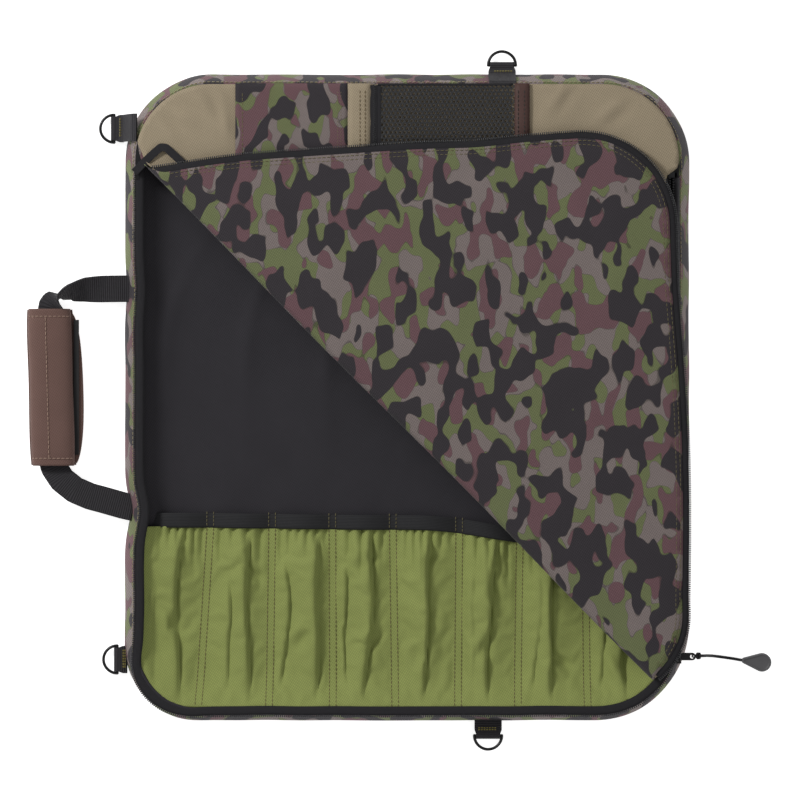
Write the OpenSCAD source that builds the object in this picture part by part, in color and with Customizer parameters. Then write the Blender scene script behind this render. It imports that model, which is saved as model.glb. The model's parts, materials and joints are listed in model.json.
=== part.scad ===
// Drum stick bag: a flat zip case lying on its back, with one corner of its cover folded open.
// +X is the bag's right, +Y its top edge, +Z up. The origin is the centre of the back panel's underside.

/* [Bag body] */
// Width between the outer side edges
bag_w = 417; // [410:1:430]
// Height between the outer top and bottom edges
bag_h = 478; // [472:1:490]
// Height of the side wall above the back panel's underside
wall_h = 22; // [21:0.5:22]
// Distance that the side wall leans in from the outer edge to the zip
wall_lean = 8; // [7:0.5:9]
// Radius of the two top corners
corner_r_top = 64; // [58:1:70]
// Radius of the bottom left corner
corner_r_left = 54; // [48:1:60]
// Radius of the bottom right corner, where the zip slider rests
corner_r_right = 70; // [64:1:74]

/* [Stick pockets] */
// Number of stick pockets in the row
pocket_count = 8; // [6:1:8]
// Width of one stick pocket from seam to seam
pocket_pitch = 46.4; // [44:0.2:47]
// Height inside a stick pocket, which takes one stick
pocket_depth = 17.2; // [15:0.2:17.2]
// Length of a stick pocket from its mouth to its bottom seam
pocket_l = 136; // [120:1:136]
// Height of the elastic band along the mouths
band_h = 11; // [8:1:14]

/* [Cover] */
// Thickness of the padded cover
cover_t = 4.5; // [4:0.1:4.5]
// Angle of the fold line across the cover, from the X axis
fold_angle = -44.5; // [-45:0.1:-44]
// Distance of the fold line from the origin, towards the lower left
fold_offset = 15; // [14:0.5:16]
// Width of one side of the zip tape
tape_w = 6; // [5:0.5:7]

/* [Rings and handle] */
// Width of the webbing
webbing_w = 20; // [18:0.5:22]
// Radius of a ring's wire
ring_wire_r = 1.1; // [1:0.05:1.2]
// Radius of a ring's bow, to the middle of its wire
ring_bow_r = 10.2; // [9.6:0.1:11]
// Length of the handle's grip
grip_l = 115; // [100:1:120]
// Width of the handle's grip
grip_w = 33; // [30:1:34]

/* [Hidden] */
$fn = 64;
half_w = bag_w / 2;
half_h = bag_h / 2;
bag_mid = [half_w, half_h];
fabric_t = 0.8;
back_t = 5;
wall_t = 1.6;
eps = 0.01;
arc_steps = 14;

// Heights of the folded cover: the lower half lies over the wall, and the flap lies over the lower half.
cover_z = 23.5;
cover_top = cover_z + cover_t;
fold_z = 30;
flap_z = 2 * fold_z - cover_top;
flap_top = 2 * fold_z - cover_z;
fold_gap = 2;

// Zip along the cover's edge. Its two ends lie at zip_end_y, and above them the cover is sewn to the wall.
zip_end_y = 166;
chain_x = 195;
chain_z = 25.3;
chain_row_w = 1.6;
chain_slit = 1.3;
cover_side_inset = 17.6;
cover_low_y = -160;
chain_low_y = -186;
slider_y = -191;
slider_w = 7.6;
slider_l = 10;
tab_pivot_x = 200.9;
tab_pivot_z = 27.5;
tab_eye = 9.2;

// Flap outline at rest: a round corner at its top right and a round tip by the slider.
flap_corner = [128.6, 126.1];
flap_corner_r = 70;
flap_tip = [146, -160];
flap_tip_r = 62;
flap_top_tilt = 3.8;
flap_side_tilt = 2.2;
flap_top_l = 400;

// Pockets on the cover's outer face, from left to right.
patch_x = [-126.5, -43.7];
placket_x = [-43.7, -26.6];
mesh_zip_x = [-26.6, -21.5];
mesh_x = [-21.5, 79.2];
trim_x = [79.2, 90.3];
pocket_top_y = 230;
patch_bottom_y = 112;
mesh_bottom_y = 32;
mesh_slider_y = 60;

// Rings: place along the edge, and how far the ring's bar stands out from it.
ring_z = 3.4;
top_ring = [70.5, 7.6];
bottom_ring = [60.2, 12];
upper_ring = [199.5, 8.9];
lower_ring = [-194.5, 6.6];

// Handle on the left edge.
strap_t = 2;
strap_z = 8.4;
handle_x = -half_w - 1.3;
grip_x = -263.4;
grip_y = 7.5;
grip_r = 9;
grip_z = 9.4;
grip_wall = 1.5;
grip_split = 9.35;

// Route of the slider's pull cord, from the knot in the tab's eye down to the table.
cord_r = 1.1;
cord_route = [
    [216, -190.6, 25.4], [217.8, -190.6, 24.2], [219.2, -190.7, 22.2], [220.4, -190.8, 19.6],
    [221.5, -190.9, 16.9], [222.7, -191.1, 14.1], [224.1, -191.3, 11.4], [225.8, -191.5, 8.9],
    [227.9, -191.8, 6.8], [230.5, -192.2, 5.2], [233.4, -192.6, 4.2], [236.6, -193.1, 3.6],
    [240, -193.6, 3.2], [243.3, -194.1, 3.1], [246.5, -194.7, 3], [249.6, -195.2, 3]
];

// ---- Outlines ----

function unit(a) = [cos(a), sin(a)];

// Points along a round corner, between two angles.
function corner(centre, r, from, to) = [
    for (i = [0:arc_steps])
        centre + r * unit(from + (to - from) * i / arc_steps)
];

// The bag's outline, moved in by a distance. Corners run anticlockwise from the bottom right.
module outline(inset = 0) {
    right_r = corner_r_right;
    left_r = corner_r_left;
    top_r = corner_r_top;
    polygon(concat(
        corner([half_w - right_r, right_r - half_h], right_r - inset, -90, 0),
        corner([half_w - top_r, half_h - top_r], top_r - inset, 0, 90),
        corner([top_r - half_w, half_h - top_r], top_r - inset, 90, 180),
        corner([left_r - half_w, left_r - half_h], left_r - inset, 180, 270)
    ));
}

// Everything on the upper right of the fold line, from a distance beyond it.
module beyond_fold(distance) {
    rotate(fold_angle)
        translate([-bag_w, distance - fold_offset])
            square([2 * bag_w, 2 * bag_w]);
}

module above(y) {
    translate([-bag_w, y]) square([2 * bag_w, bag_h]);
}

module below(y) {
    translate([-bag_w, y - 2 * bag_h]) square([2 * bag_w, 2 * bag_h]);
}

module slab(z, t) {
    translate([0, 0, z]) linear_extrude(t) children();
}

// A band along the bag's edge, between two distances from it.
module band(outer, inner) {
    difference() {
        outline(outer);
        outline(inner);
    }
}

// A plain strip, from its two X limits and two Y limits.
module strip(x, y) {
    translate([x[0], y[0]]) square([x[1] - x[0], y[1] - y[0]]);
}

// ---- Back and side wall ----

module back_panel() {
    color([0.36, 0.37, 0.28]) slab(0, fabric_t) outline();
}

module back_foam() {
    color([0.75, 0.75, 0.72]) slab(fabric_t, back_t - 2 * fabric_t) outline(5);
}

module back_lining() {
    color([0.18, 0.18, 0.19]) slab(back_t - fabric_t, fabric_t) outline(5);
}

// A solid whose sides lean in as they rise, from the back panel to the zip.
module leaning_block(inset) {
    hull() {
        slab(fabric_t, eps) outline(inset);
        slab(wall_h - eps, eps) outline(inset + wall_lean);
    }
}

module gusset() {
    color([0.36, 0.37, 0.28]) difference() {
        leaning_block(0);
        leaning_core();
    }
}

// The space inside the side wall, standing a little proud at both ends so that it cuts right through.
module leaning_core() {
    lean_per_mm = wall_lean / (wall_h - fabric_t);
    hull() {
        slab(fabric_t - 1, eps) outline(wall_t - lean_per_mm);
        slab(wall_h + 1, eps) outline(wall_t + wall_lean + lean_per_mm);
    }
}

// ---- Stick pockets ----

pocket_x0 = -pocket_count / 2 * pocket_pitch - 6.4;
pocket_mouth_y = -99;
pocket_wall = 0.7;

tunnel_side = 4;

// One pocket's tunnel, as the polygon of its section: steep sides and a flat top.
function tunnel(x0, x1, h) = [[x0, 0], [x1, 0], [x1 - tunnel_side, h], [x0 + tunnel_side, h]];

module tunnels(wall, depth) {
    for (i = [0:pocket_count - 1])
        polygon(tunnel(
            pocket_x0 + i * pocket_pitch + 0.4 + wall,
            pocket_x0 + (i + 1) * pocket_pitch - 0.4 - wall,
            depth
        ));
}

// The tunnels' walls, joined where they are sewn down between the pockets.
module tunnel_walls() {
    difference() {
        union() {
            tunnels(0, pocket_depth + pocket_wall);
            for (i = [1:pocket_count - 1])
                translate([pocket_x0 + i * pocket_pitch - 1.1, 0]) square([2.2, pocket_wall]);
        }
        tunnels(pocket_wall, pocket_depth);
    }
}

// Section swept along Y from y0 up to y1, standing on the lining.
module along_y(y0, y1) {
    translate([0, y1, back_t]) rotate([90, 0, 0]) linear_extrude(y1 - y0) children();
}

// The pockets lie clear of the zip tape, and their bottoms follow the bag's outline where it turns.
module stick_pocket_panel() {
    bottom_y = pocket_mouth_y + band_h - pocket_l;
    clear_of_tape = wall_lean + tape_w + 0.2;
    color([0.44, 0.52, 0.25]) intersection() {
        union() {
            along_y(bottom_y, pocket_mouth_y) tunnel_walls();
            intersection() {
                along_y(bottom_y, pocket_mouth_y) tunnels(0, pocket_depth + pocket_wall);
                union() {
                    slab(back_t, wall_h) band(clear_of_tape, clear_of_tape + pocket_wall);
                    slab(back_t, wall_h) below(bottom_y + pocket_wall);
                }
            }
        }
        slab(back_t, wall_h) outline(clear_of_tape);
    }
}

module pocket_elastic_band() {
    color([0.12, 0.12, 0.13]) along_y(pocket_mouth_y, pocket_mouth_y + band_h) tunnel_walls();
}

// ---- Cover, the half that lies flat ----

module cover_shape(inset = 0) {
    intersection() {
        union() {
            intersection() {
                outline(wall_lean + inset);
                above(zip_end_y + inset);
            }
            intersection() {
                outline(cover_side_inset + inset);
                below(zip_end_y + inset + 1);
            }
        }
        beyond_fold(fold_gap + inset);
    }
}

module cover_outer() {
    color([0.56, 0.5, 0.38]) slab(cover_top - fabric_t, fabric_t) cover_shape();
}

module cover_foam() {
    color([0.75, 0.75, 0.72]) slab(cover_z + fabric_t, cover_t - 2 * fabric_t) cover_shape(1);
}

module cover_lining() {
    color([0.36, 0.37, 0.28]) slab(cover_z, fabric_t) cover_shape();
}

// Tape inside the seam that joins the cover to the wall round the top.
module cover_seam_tape() {
    color([0.1, 0.1, 0.1]) slab(wall_h, cover_z - wall_h) intersection() {
        band(wall_lean, wall_lean + tape_w);
        above(zip_end_y);
    }
}

// ---- Main zip ----

module base_zip_tape() {
    color([0.1, 0.1, 0.1]) {
        slab(wall_h, 0.8) intersection() {
            band(wall_lean, wall_lean + tape_w);
            below(zip_end_y);
            union() {
                translate([-bag_w, -bag_h]) square([bag_w + 138, 2 * bag_h]);
                below(slider_y - slider_l);
            }
        }
        side_tape_riser();
    }
}

// On the closed side the tape rises from the wall, then runs in to the chain.
module side_tape_riser() {
    riser_x = half_w - wall_lean - 1;
    low_y = slider_y + slider_l + 12;
    translate([riser_x, low_y, wall_h]) cube([0.8, zip_end_y - low_y, chain_z - wall_h + 0.2]);
    slab(chain_z - 0.3, 0.5)
        strip([chain_x + chain_slit / 2 + chain_row_w, riser_x + 0.1], [low_y, zip_end_y]);
}

// A row of small blocks along an edge band, cut where the zip is shut.
module base_zip_teeth() {
    color([0.05, 0.05, 0.05]) slab(wall_h + 0.1, 1) intersection() {
        band(wall_lean - 1.4, wall_lean);
        below(zip_end_y);
        union() {
            translate([-bag_w, -bag_h]) square([bag_w + 138, 2 * bag_h]);
            below(slider_y - slider_l);
        }
    }
}

module cover_zip_tape() {
    color([0.1, 0.1, 0.1]) slab(chain_z - 0.3, 0.5)
        strip([half_w - cover_side_inset, chain_x - chain_slit / 2 - chain_row_w], [cover_low_y, zip_end_y]);
}

// The closed chain: two rows of teeth with the slider's post running between them.
module side_zip_chain() {
    color([0.05, 0.05, 0.05])
        for (side = [-1, 1])
            translate([chain_x + side * (chain_slit + chain_row_w) / 2, 0, chain_z])
                translate([-chain_row_w / 2, chain_low_y, -0.7])
                    cube([chain_row_w, zip_end_y - chain_low_y, 1.4]);
}

// Outline of the folded tape end, from the left edge and the zip's end.
zip_loop = [[7.5, 2], [27.5, 21], [32.5, 20], [47.5, 7.5], [42.5, 2], [30, 13], [14.5, -1]];

// The tape's end, folded up and over where the open zip starts.
module zip_end_loop() {
    color([0.1, 0.1, 0.1]) slab(cover_top + 0.3, 2.6) intersection() {
        polygon([for (p = zip_loop) p + [-half_w, zip_end_y]]);
        beyond_fold(fold_gap);
    }
}

module zip_stops() {
    color([0.05, 0.05, 0.05]) {
        slab(wall_h + 0.8, 0.5)
            strip([wall_lean + 0.2 - half_w, wall_lean + 2.7 - half_w], [zip_end_y - 5, zip_end_y - 1]);
        slab(chain_z + 0.75, 1) strip([chain_x - 2.4, chain_x + 2.4], [zip_end_y - 4, zip_end_y]);
    }
}

// The slider: two plates joined by a thin post, with a bridge on top for the tab.
module main_slider() {
    plate_t = 1.2;
    slot = 2;
    color([0.08, 0.08, 0.08]) translate([chain_x, slider_y, chain_z]) {
        for (z = [-slot / 2 - plate_t, slot / 2])
            translate([-slider_w / 2, -slider_l / 2, z]) cube([slider_w, slider_l, plate_t]);
        translate([-0.3, -slider_l / 2, -slot / 2 - eps]) cube([0.6, slider_l, slot + 2 * eps]);
        for (y = [-slider_l / 2, slider_l / 2 - 1.6])
            translate([-1.5, y, slot / 2 + plate_t - eps]) cube([tab_pivot_x - chain_x + 2.7, 1.6, 1.6]);
        translate([tab_pivot_x - chain_x, slider_l / 2, tab_pivot_z - chain_z])
            rotate([90, 0, 0]) cylinder(r = 0.7, h = slider_l);
    }
}

// The metal tab: it turns on the slider's pin and has an eye for the cord.
module pull_tab() {
    tab_w = 5.6;
    color([0.16, 0.16, 0.17]) translate([tab_pivot_x, slider_y, tab_pivot_z]) difference() {
        union() {
            translate([0, tab_w / 2, 0]) rotate([90, 0, 0]) cylinder(r = 1.7, h = tab_w);
            translate([0.6, -tab_w / 2, -1.6]) cube([tab_eye - 0.6, tab_w, 1.5]);
            translate([tab_eye, 0, -1.6]) cylinder(r = tab_w / 2, h = 1.5);
        }
        translate([0, tab_w, 0]) rotate([90, 0, 0]) cylinder(r = 1, h = 2 * tab_w);
        translate([tab_eye, 0, -3]) cylinder(r = 1.5, h = 4);
    }
}

// ---- Pull cord ----

function cross3(a, b) = [a[1] * b[2] - a[2] * b[1], a[2] * b[0] - a[0] * b[2], a[0] * b[1] - a[1] * b[0]];
function along(path, i) = path[min(i + 1, len(path) - 1)] - path[max(i - 1, 0)];
function scaled_to_one(v) = v / norm(v);
function ring_points(path, i, r, sides) =
    let (d = scaled_to_one(along(path, i)))
    let (s = scaled_to_one(cross3(d, [0, 1, 0])))
    let (t = cross3(d, s))
    [for (k = [0:sides - 1]) path[i] + r * cos(360 * k / sides) * s + r * sin(360 * k / sides) * t];

// A round tube swept along a path.
module tube(path, r, sides = 8) {
    n = len(path);
    points = [for (i = [0:n - 1]) each ring_points(path, i, r, sides)];
    walls = [
        for (i = [0:n - 2], k = [0:sides - 1])
            let (a = i * sides + k, b = i * sides + (k + 1) % sides)
                each [[a, a + sides, b + sides], [a, b + sides, b]]
    ];
    first = [for (k = [0:sides - 1]) k];
    last = [for (k = [0:sides - 1]) n * sides - 1 - k];
    polyhedron(points, concat(walls, [first], [last]));
}

module pull_cord() {
    color([0.1, 0.1, 0.1]) tube(cord_route, cord_r);
}

// A small knot where the cord leaves the tab's eye.
module pull_knot() {
    color([0.1, 0.1, 0.1]) translate([214.9, -190.6, 25.7]) sphere(r = 1.6, $fn = 24);
}

// The rubber drop on the end of the cord.
module pull_drop() {
    drop_r = 7;
    neck_r = 2.4;
    length = 13.6;
    lean = asin((drop_r - neck_r) / length);
    color([0.22, 0.22, 0.23]) translate([249.8, -195.2, 0.5]) rotate(-6) linear_extrude(5) polygon(concat(
        corner([length, 0], drop_r, -90 - lean, 90 + lean),
        corner([neck_r, 0], neck_r, 90 + lean, 270 - lean)
    ));
}

// ---- Pockets on the cover ----

module on_cover(z, t, x, bottom_y) {
    slab(cover_top + z, t) strip(x, [bottom_y, pocket_top_y]);
}

module patch_pocket() {
    color([0.36, 0.37, 0.28]) on_cover(0, 0.9, patch_x, patch_bottom_y);
}

module placket_strip() {
    color([0.56, 0.5, 0.38]) on_cover(0, 0.9, placket_x, mesh_bottom_y);
}

module mesh_pocket() {
    color([0.06, 0.06, 0.06]) on_cover(0, 0.6, mesh_x, mesh_bottom_y);
}

module mesh_zip_tape() {
    color([0.1, 0.1, 0.1]) on_cover(0, 0.6, mesh_zip_x, mesh_bottom_y);
}

module mesh_zip_chain() {
    middle = (mesh_zip_x[0] + mesh_zip_x[1]) / 2;
    color([0.05, 0.05, 0.05]) on_cover(0.6, 0.8, [middle - 0.9, middle + 0.9], mesh_bottom_y + 2);
}

module pocket_trim() {
    color([0.27, 0.19, 0.17]) on_cover(0, 1.1, trim_x, mesh_bottom_y);
}

module mesh_slider() {
    middle = (mesh_zip_x[0] + mesh_zip_x[1]) / 2;
    color([0.08, 0.08, 0.08]) translate([middle, mesh_slider_y, cover_top]) difference() {
        translate([-2.1, -4, 0.9]) cube([4.2, 8, 1.7]);
        translate([-1.2, -5, 0]) cube([2.4, 10, 1.7]);
    }
}

module mesh_pull_tab() {
    middle = (mesh_zip_x[0] + mesh_zip_x[1]) / 2;
    color([0.16, 0.16, 0.17]) translate([middle, mesh_slider_y, cover_top + 2.6]) difference() {
        union() {
            translate([-1.8, -14, 0]) cube([3.6, 16, 0.9]);
            translate([0, -14, 0]) cylinder(r = 1.8, h = 0.9);
        }
        translate([0, -13, -1]) cylinder(r = 0.9, h = 3);
    }
}

// ---- Flap, the corner of the cover that folds ----

// The flap's outline at rest, lying folded over the cover.
module flap_outline(inset = 0) {
    r1 = flap_corner_r - inset;
    r2 = flap_tip_r - inset;
    polygon(concat(
        corner(flap_tip, r2, -62, flap_side_tilt),
        corner(flap_corner, r1, flap_side_tilt, 90 + flap_top_tilt),
        [flap_corner + r1 * unit(90 + flap_top_tilt) - flap_top_l * unit(flap_top_tilt), -bag_mid]
    ));
}

module flap_shape(inset, gap = fold_gap) {
    intersection() {
        flap_outline(inset);
        beyond_fold(gap);
    }
}

module flap_outer() {
    color([0.56, 0.5, 0.38]) slab(flap_z, fabric_t) flap_shape(tape_w);
}

module flap_foam() {
    color([0.75, 0.75, 0.72]) slab(flap_z + fabric_t, cover_t - 2 * fabric_t)
        flap_shape(tape_w + 1, fold_gap + 1);
}

module flap_lining() {
    color([0.36, 0.37, 0.28]) slab(flap_top - fabric_t, fabric_t) flap_shape(tape_w);
}

module flap_zip_tape() {
    color([0.1, 0.1, 0.1]) slab(flap_top - 1.9, 0.8) difference() {
        flap_shape(1);
        flap_shape(tape_w, -5);
    }
}

module flap_zip_teeth() {
    color([0.05, 0.05, 0.05]) slab(flap_top - 2.2, 1.4) difference() {
        flap_shape(0);
        flap_shape(1, -5);
    }
}

// ---- Rings and their webbing tabs ----

// Places a thing at an edge of the bag, with local +Y pointing out of it.
module at_edge(turn, reach, along) {
    rotate(turn) translate([along, reach, 0]) children();
}

module ring_tab(ring, over_wall) {
    bore_r = ring_wire_r + 0.35;
    loop_r = bore_r + 0.8;
    low = ring_z - 1.2;
    high = ring_z + 1.2;
    loop_w = 2 * (ring_bow_r - ring_wire_r) - 0.8;
    difference() {
        union() {
            translate([-webbing_w / 2, 0, 0]) rotate([90, 0, 90]) linear_extrude(webbing_w)
                polygon(concat(
                    over_wall
                        ? [[-0.1, low], [-7.6, wall_h], [-6.4, wall_h + 0.4], [1, high]]
                        : [[-0.2, low], [-1.1, high]],
                    [[ring[1] - loop_r, high], [ring[1] - loop_r, low]]
                ));
            translate([-loop_w / 2, ring[1] - loop_r - 0.5, low]) cube([loop_w, loop_r + 0.5, 2.4]);
            translate([-loop_w / 2, ring[1], ring_z]) rotate([0, 90, 0]) cylinder(r = loop_r, h = loop_w);
        }
        translate([-webbing_w, ring[1], ring_z]) rotate([0, 90, 0])
            cylinder(r = bore_r, h = 2 * webbing_w);
    }
}

// A D-shaped wire ring: a straight bar and a half-round bow.
module d_ring(ring) {
    translate([0, ring[1], ring_z]) {
        rotate_extrude(angle = 180) translate([ring_bow_r, 0]) circle(ring_wire_r, $fn = 24);
        translate([-ring_bow_r, 0, 0]) rotate([0, 90, 0])
            cylinder(r = ring_wire_r, h = 2 * ring_bow_r, $fn = 24);
        for (side = [-1, 1]) translate([side * ring_bow_r, 0, 0]) sphere(ring_wire_r, $fn = 24);
    }
}

module ring_tab_top() {
    color([0.09, 0.09, 0.09]) at_edge(0, half_h, top_ring[0]) ring_tab(top_ring, true);
}

module ring_tab_bottom() {
    color([0.09, 0.09, 0.09]) at_edge(180, half_h, -bottom_ring[0]) ring_tab(bottom_ring, false);
}

module ring_tab_upper() {
    color([0.09, 0.09, 0.09]) at_edge(90, half_w, upper_ring[0]) ring_tab(upper_ring, true);
}

module ring_tab_lower() {
    color([0.09, 0.09, 0.09]) at_edge(90, half_w, lower_ring[0]) ring_tab(lower_ring, false);
}

module ring_top() {
    color([0.05, 0.05, 0.05]) at_edge(0, half_h, top_ring[0]) d_ring(top_ring);
}

module ring_bottom() {
    color([0.05, 0.05, 0.05]) at_edge(180, half_h, -bottom_ring[0]) d_ring(bottom_ring);
}

module ring_upper() {
    color([0.05, 0.05, 0.05]) at_edge(90, half_w, upper_ring[0]) d_ring(upper_ring);
}

module ring_lower() {
    color([0.05, 0.05, 0.05]) at_edge(90, half_w, lower_ring[0]) d_ring(lower_ring);
}

// ---- Handle ----

upper_root_y = [70.5, 91];
lower_root_y = [-91, -71];

// Short webbing ends that come out of the wall, where the handle bends.
module handle_anchors() {
    color([0.09, 0.09, 0.09])
        for (y = [upper_root_y, lower_root_y])
            slab(strap_z - strap_t / 2, strap_t) strip([handle_x + 1.5, -half_w + 2], y);
}

// One length of webbing: out of the wall, through the grip and back.
module handle_strap() {
    root_x = handle_x - 1.5;
    grip_end = grip_l / 2;
    color([0.09, 0.09, 0.09]) slab(strap_z - strap_t / 2, strap_t) {
        polygon([
            [root_x, upper_root_y[0]], [root_x, upper_root_y[1]], [-238, 88], [-262, 78],
            [grip_x - 9, grip_y + grip_end], [grip_x + 9, grip_y + grip_end], [-250, 70], [-232, 71]
        ]);
        strip([grip_x - 9, grip_x + 9], [grip_y - grip_end - 1, grip_y + grip_end + 1]);
        polygon([
            [grip_x - 9, grip_y - grip_end], [-265, -65.5], [-246, -79], [-226, -87], [root_x, lower_root_y[0]],
            [root_x, lower_root_y[1]], [-224, -64], [-238, -63], [grip_x + 9, grip_y - grip_end]
        ]);
    }
}

// A flat oval, the section of the grip.
module oval(r) {
    half = grip_w / 2 - grip_r;
    for (side = [-1, 1]) translate([side * half, 0]) circle(r);
    square([2 * half, 2 * r], center = true);
}

module along_grip(length) {
    translate([grip_x, grip_y + length / 2, grip_z]) rotate([90, 0, 0]) linear_extrude(length) children();
}

module grip_core() {
    color([0.75, 0.75, 0.72]) along_grip(grip_l - 6) difference() {
        oval(grip_r - grip_wall - 0.2);
        translate([-9.3, strap_z - grip_z - 1.3]) square([18.6, 2.6]);
    }
}

module grip_shell() {
    difference() {
        oval(grip_r);
        oval(grip_r - grip_wall);
    }
}

// The lower half of the wrapped grip, with the tongue that carries the hook strip.
module grip_back() {
    color([0.34, 0.25, 0.22]) {
        along_grip(grip_l) difference() {
            grip_shell();
            translate([-grip_w, grip_split - grip_z - 0.15]) square([2 * grip_w, 2 * grip_r]);
        }
        translate([grip_x + grip_w / 2 - 0.3, grip_y - 42, grip_split - 1.35]) cube([7.6, 84, 1.2]);
    }
}

module grip_hook_strip() {
    color([0.08, 0.08, 0.08])
        translate([grip_x + grip_w / 2 + 0.35, grip_y - 50, grip_split - 0.15]) cube([3, 100, 0.8]);
}

// The upper half of the grip, which peels open about its outer edge.
module grip_flap() {
    color([0.38, 0.28, 0.25]) {
        along_grip(grip_l) difference() {
            grip_shell();
            translate([-grip_w, -2 * grip_r + grip_split - grip_z + 0.15]) square([2 * grip_w, 2 * grip_r]);
        }
        translate([grip_x + grip_w / 2 - 1, grip_y - grip_l / 2, grip_split + 0.95]) cube([3.2, grip_l, 1.2]);
    }
}

// ---- Nodes ----

back_panel();
back_foam();
back_lining();
gusset();
stick_pocket_panel();
pocket_elastic_band();
cover_outer();
cover_foam();
cover_lining();
cover_seam_tape();
base_zip_tape();
base_zip_teeth();
cover_zip_tape();
side_zip_chain();
zip_end_loop();
zip_stops();
patch_pocket();
placket_strip();
mesh_pocket();
mesh_zip_tape();
mesh_zip_chain();
pocket_trim();
ring_tab_top();
ring_tab_bottom();
ring_tab_upper();
ring_tab_lower();
handle_anchors();
flap_outer();
flap_foam();
flap_lining();
flap_zip_tape();
flap_zip_teeth();
main_slider();
pull_tab();
pull_cord();
pull_knot();
pull_drop();
mesh_slider();
mesh_pull_tab();
ring_top();
ring_bottom();
ring_upper();
ring_lower();
handle_strap();
grip_core();
grip_back();
grip_hook_strip();
grip_flap();
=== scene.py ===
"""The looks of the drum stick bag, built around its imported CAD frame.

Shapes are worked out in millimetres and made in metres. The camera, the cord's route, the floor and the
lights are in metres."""
import json
import math

import bpy
import numpy as np
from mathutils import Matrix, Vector, geometry


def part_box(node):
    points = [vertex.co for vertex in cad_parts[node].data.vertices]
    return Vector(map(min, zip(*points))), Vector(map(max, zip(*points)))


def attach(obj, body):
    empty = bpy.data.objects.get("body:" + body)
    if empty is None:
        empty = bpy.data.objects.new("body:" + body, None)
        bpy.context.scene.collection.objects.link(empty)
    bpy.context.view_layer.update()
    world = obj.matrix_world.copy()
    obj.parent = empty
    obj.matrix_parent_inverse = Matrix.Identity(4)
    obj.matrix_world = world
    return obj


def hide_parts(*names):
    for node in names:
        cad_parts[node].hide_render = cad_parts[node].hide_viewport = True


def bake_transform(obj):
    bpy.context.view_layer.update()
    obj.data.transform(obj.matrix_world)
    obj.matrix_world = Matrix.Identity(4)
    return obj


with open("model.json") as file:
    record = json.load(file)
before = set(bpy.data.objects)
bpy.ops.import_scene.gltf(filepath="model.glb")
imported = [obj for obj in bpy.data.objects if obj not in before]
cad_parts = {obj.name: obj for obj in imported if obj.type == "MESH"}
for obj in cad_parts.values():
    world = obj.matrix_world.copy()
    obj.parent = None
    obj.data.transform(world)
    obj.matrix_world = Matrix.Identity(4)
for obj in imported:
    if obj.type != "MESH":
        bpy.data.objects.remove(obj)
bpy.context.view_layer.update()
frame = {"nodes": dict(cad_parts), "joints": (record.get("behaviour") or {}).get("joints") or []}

MM = 0.001
joints = {j["name"]: j for j in frame["joints"]}


# ---- Places taken from the frame ----

def node_mm(name):
    """A CAD node's lowest and highest corner, in millimetres."""
    low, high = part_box(name)
    return np.array(low) / MM, np.array(high) / MM


HALF_W, HALF_H = node_mm("back_panel")[1][:2]
lining_top = node_mm("back_lining")[1][2]
wall_top = node_mm("gusset")[1][2]
cover_low_z = node_mm("cover_lining")[0][2]
cover_top_z = node_mm("cover_outer")[1][2]
flap_low_z = node_mm("flap_outer")[0][2]
flap_top_z = node_mm("flap_lining")[1][2]
fold = joints["cover_fold"]
FOLD_POINT = np.array(fold["pos_m"]) / MM
FOLD_DIR = np.array(fold["axis"][:2])
FOLD_NORMAL = np.array([-FOLD_DIR[1], FOLD_DIR[0]])

WALL_LEAN = 8.0
ZIP_END_Y = 166.0
TAPE_W = 6.0
CORNERS = {"top": 64.0, "bottom_left": 54.0, "bottom_right": 70.0}


# ---- Camera ----

LENS, SENSOR = 200.0, 36.0
VIEW_W = 0.592
VIEW_CENTRE = (-0.0052, -0.0019)


def add_camera():
    data = bpy.data.cameras.new("camera")
    data.lens = LENS
    data.sensor_width = SENSOR
    data.clip_end = 20
    cam = bpy.data.objects.new("camera", data)
    cam.location = (*VIEW_CENTRE, VIEW_W * LENS / SENSOR + 0.014)
    bpy.context.scene.collection.objects.link(cam)
    bpy.context.scene.camera = cam


add_camera()


# ---- Small geometry tools ----

def smooth(t):
    t = np.clip(t, 0, 1)
    return t * t * (3 - 2 * t)


def unit(degrees):
    return np.array([math.cos(math.radians(degrees)), math.sin(math.radians(degrees))])


def bell(u):
    """A smooth bump: 1 where u is 0, and next to nothing beyond 2."""
    return np.exp(-(u ** 2))


def beside(x, y, place, lean):
    """Distances from a place, across and along a line that leans by an angle in radians."""
    dx, dy = x - place[0], y - place[1]
    return dx * math.cos(lean) + dy * math.sin(lean), -dx * math.sin(lean) + dy * math.cos(lean)


def lengths_along(points):
    """How far along its line each point lies."""
    return np.r_[0, np.cumsum(np.linalg.norm(np.diff(points, axis=0), axis=1))]


def arc(centre, radius, start, end, step=3.0):
    """Points along an arc, about step millimetres apart."""
    count = max(2, int(abs(math.radians(end - start)) * radius / step))
    return [np.array(centre) + radius * unit(a) for a in np.linspace(start, end, count + 1)]


def resample(points, step, closed=False):
    """The same line with its points evenly spaced, about step apart."""
    pts = np.array(points, float)
    if closed:
        pts = np.vstack([pts, pts[:1]])
    keep = np.r_[True, np.linalg.norm(np.diff(pts, axis=0), axis=1) > 1e-6]
    pts = pts[keep]
    along = lengths_along(pts)
    count = max(2, int(round(along[-1] / step)) + 1)
    at = np.linspace(0, along[-1], count)
    out = np.stack([np.interp(at, along, pts[:, k]) for k in range(pts.shape[1])], axis=1)
    return out[:-1] if closed else out


def tangents(points, closed=False):
    pts = np.array(points, float)
    if closed:
        d = np.roll(pts, -1, axis=0) - np.roll(pts, 1, axis=0)
    else:
        d = np.gradient(pts, axis=0)
    return d / np.maximum(np.linalg.norm(d, axis=1, keepdims=True), 1e-9)


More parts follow.
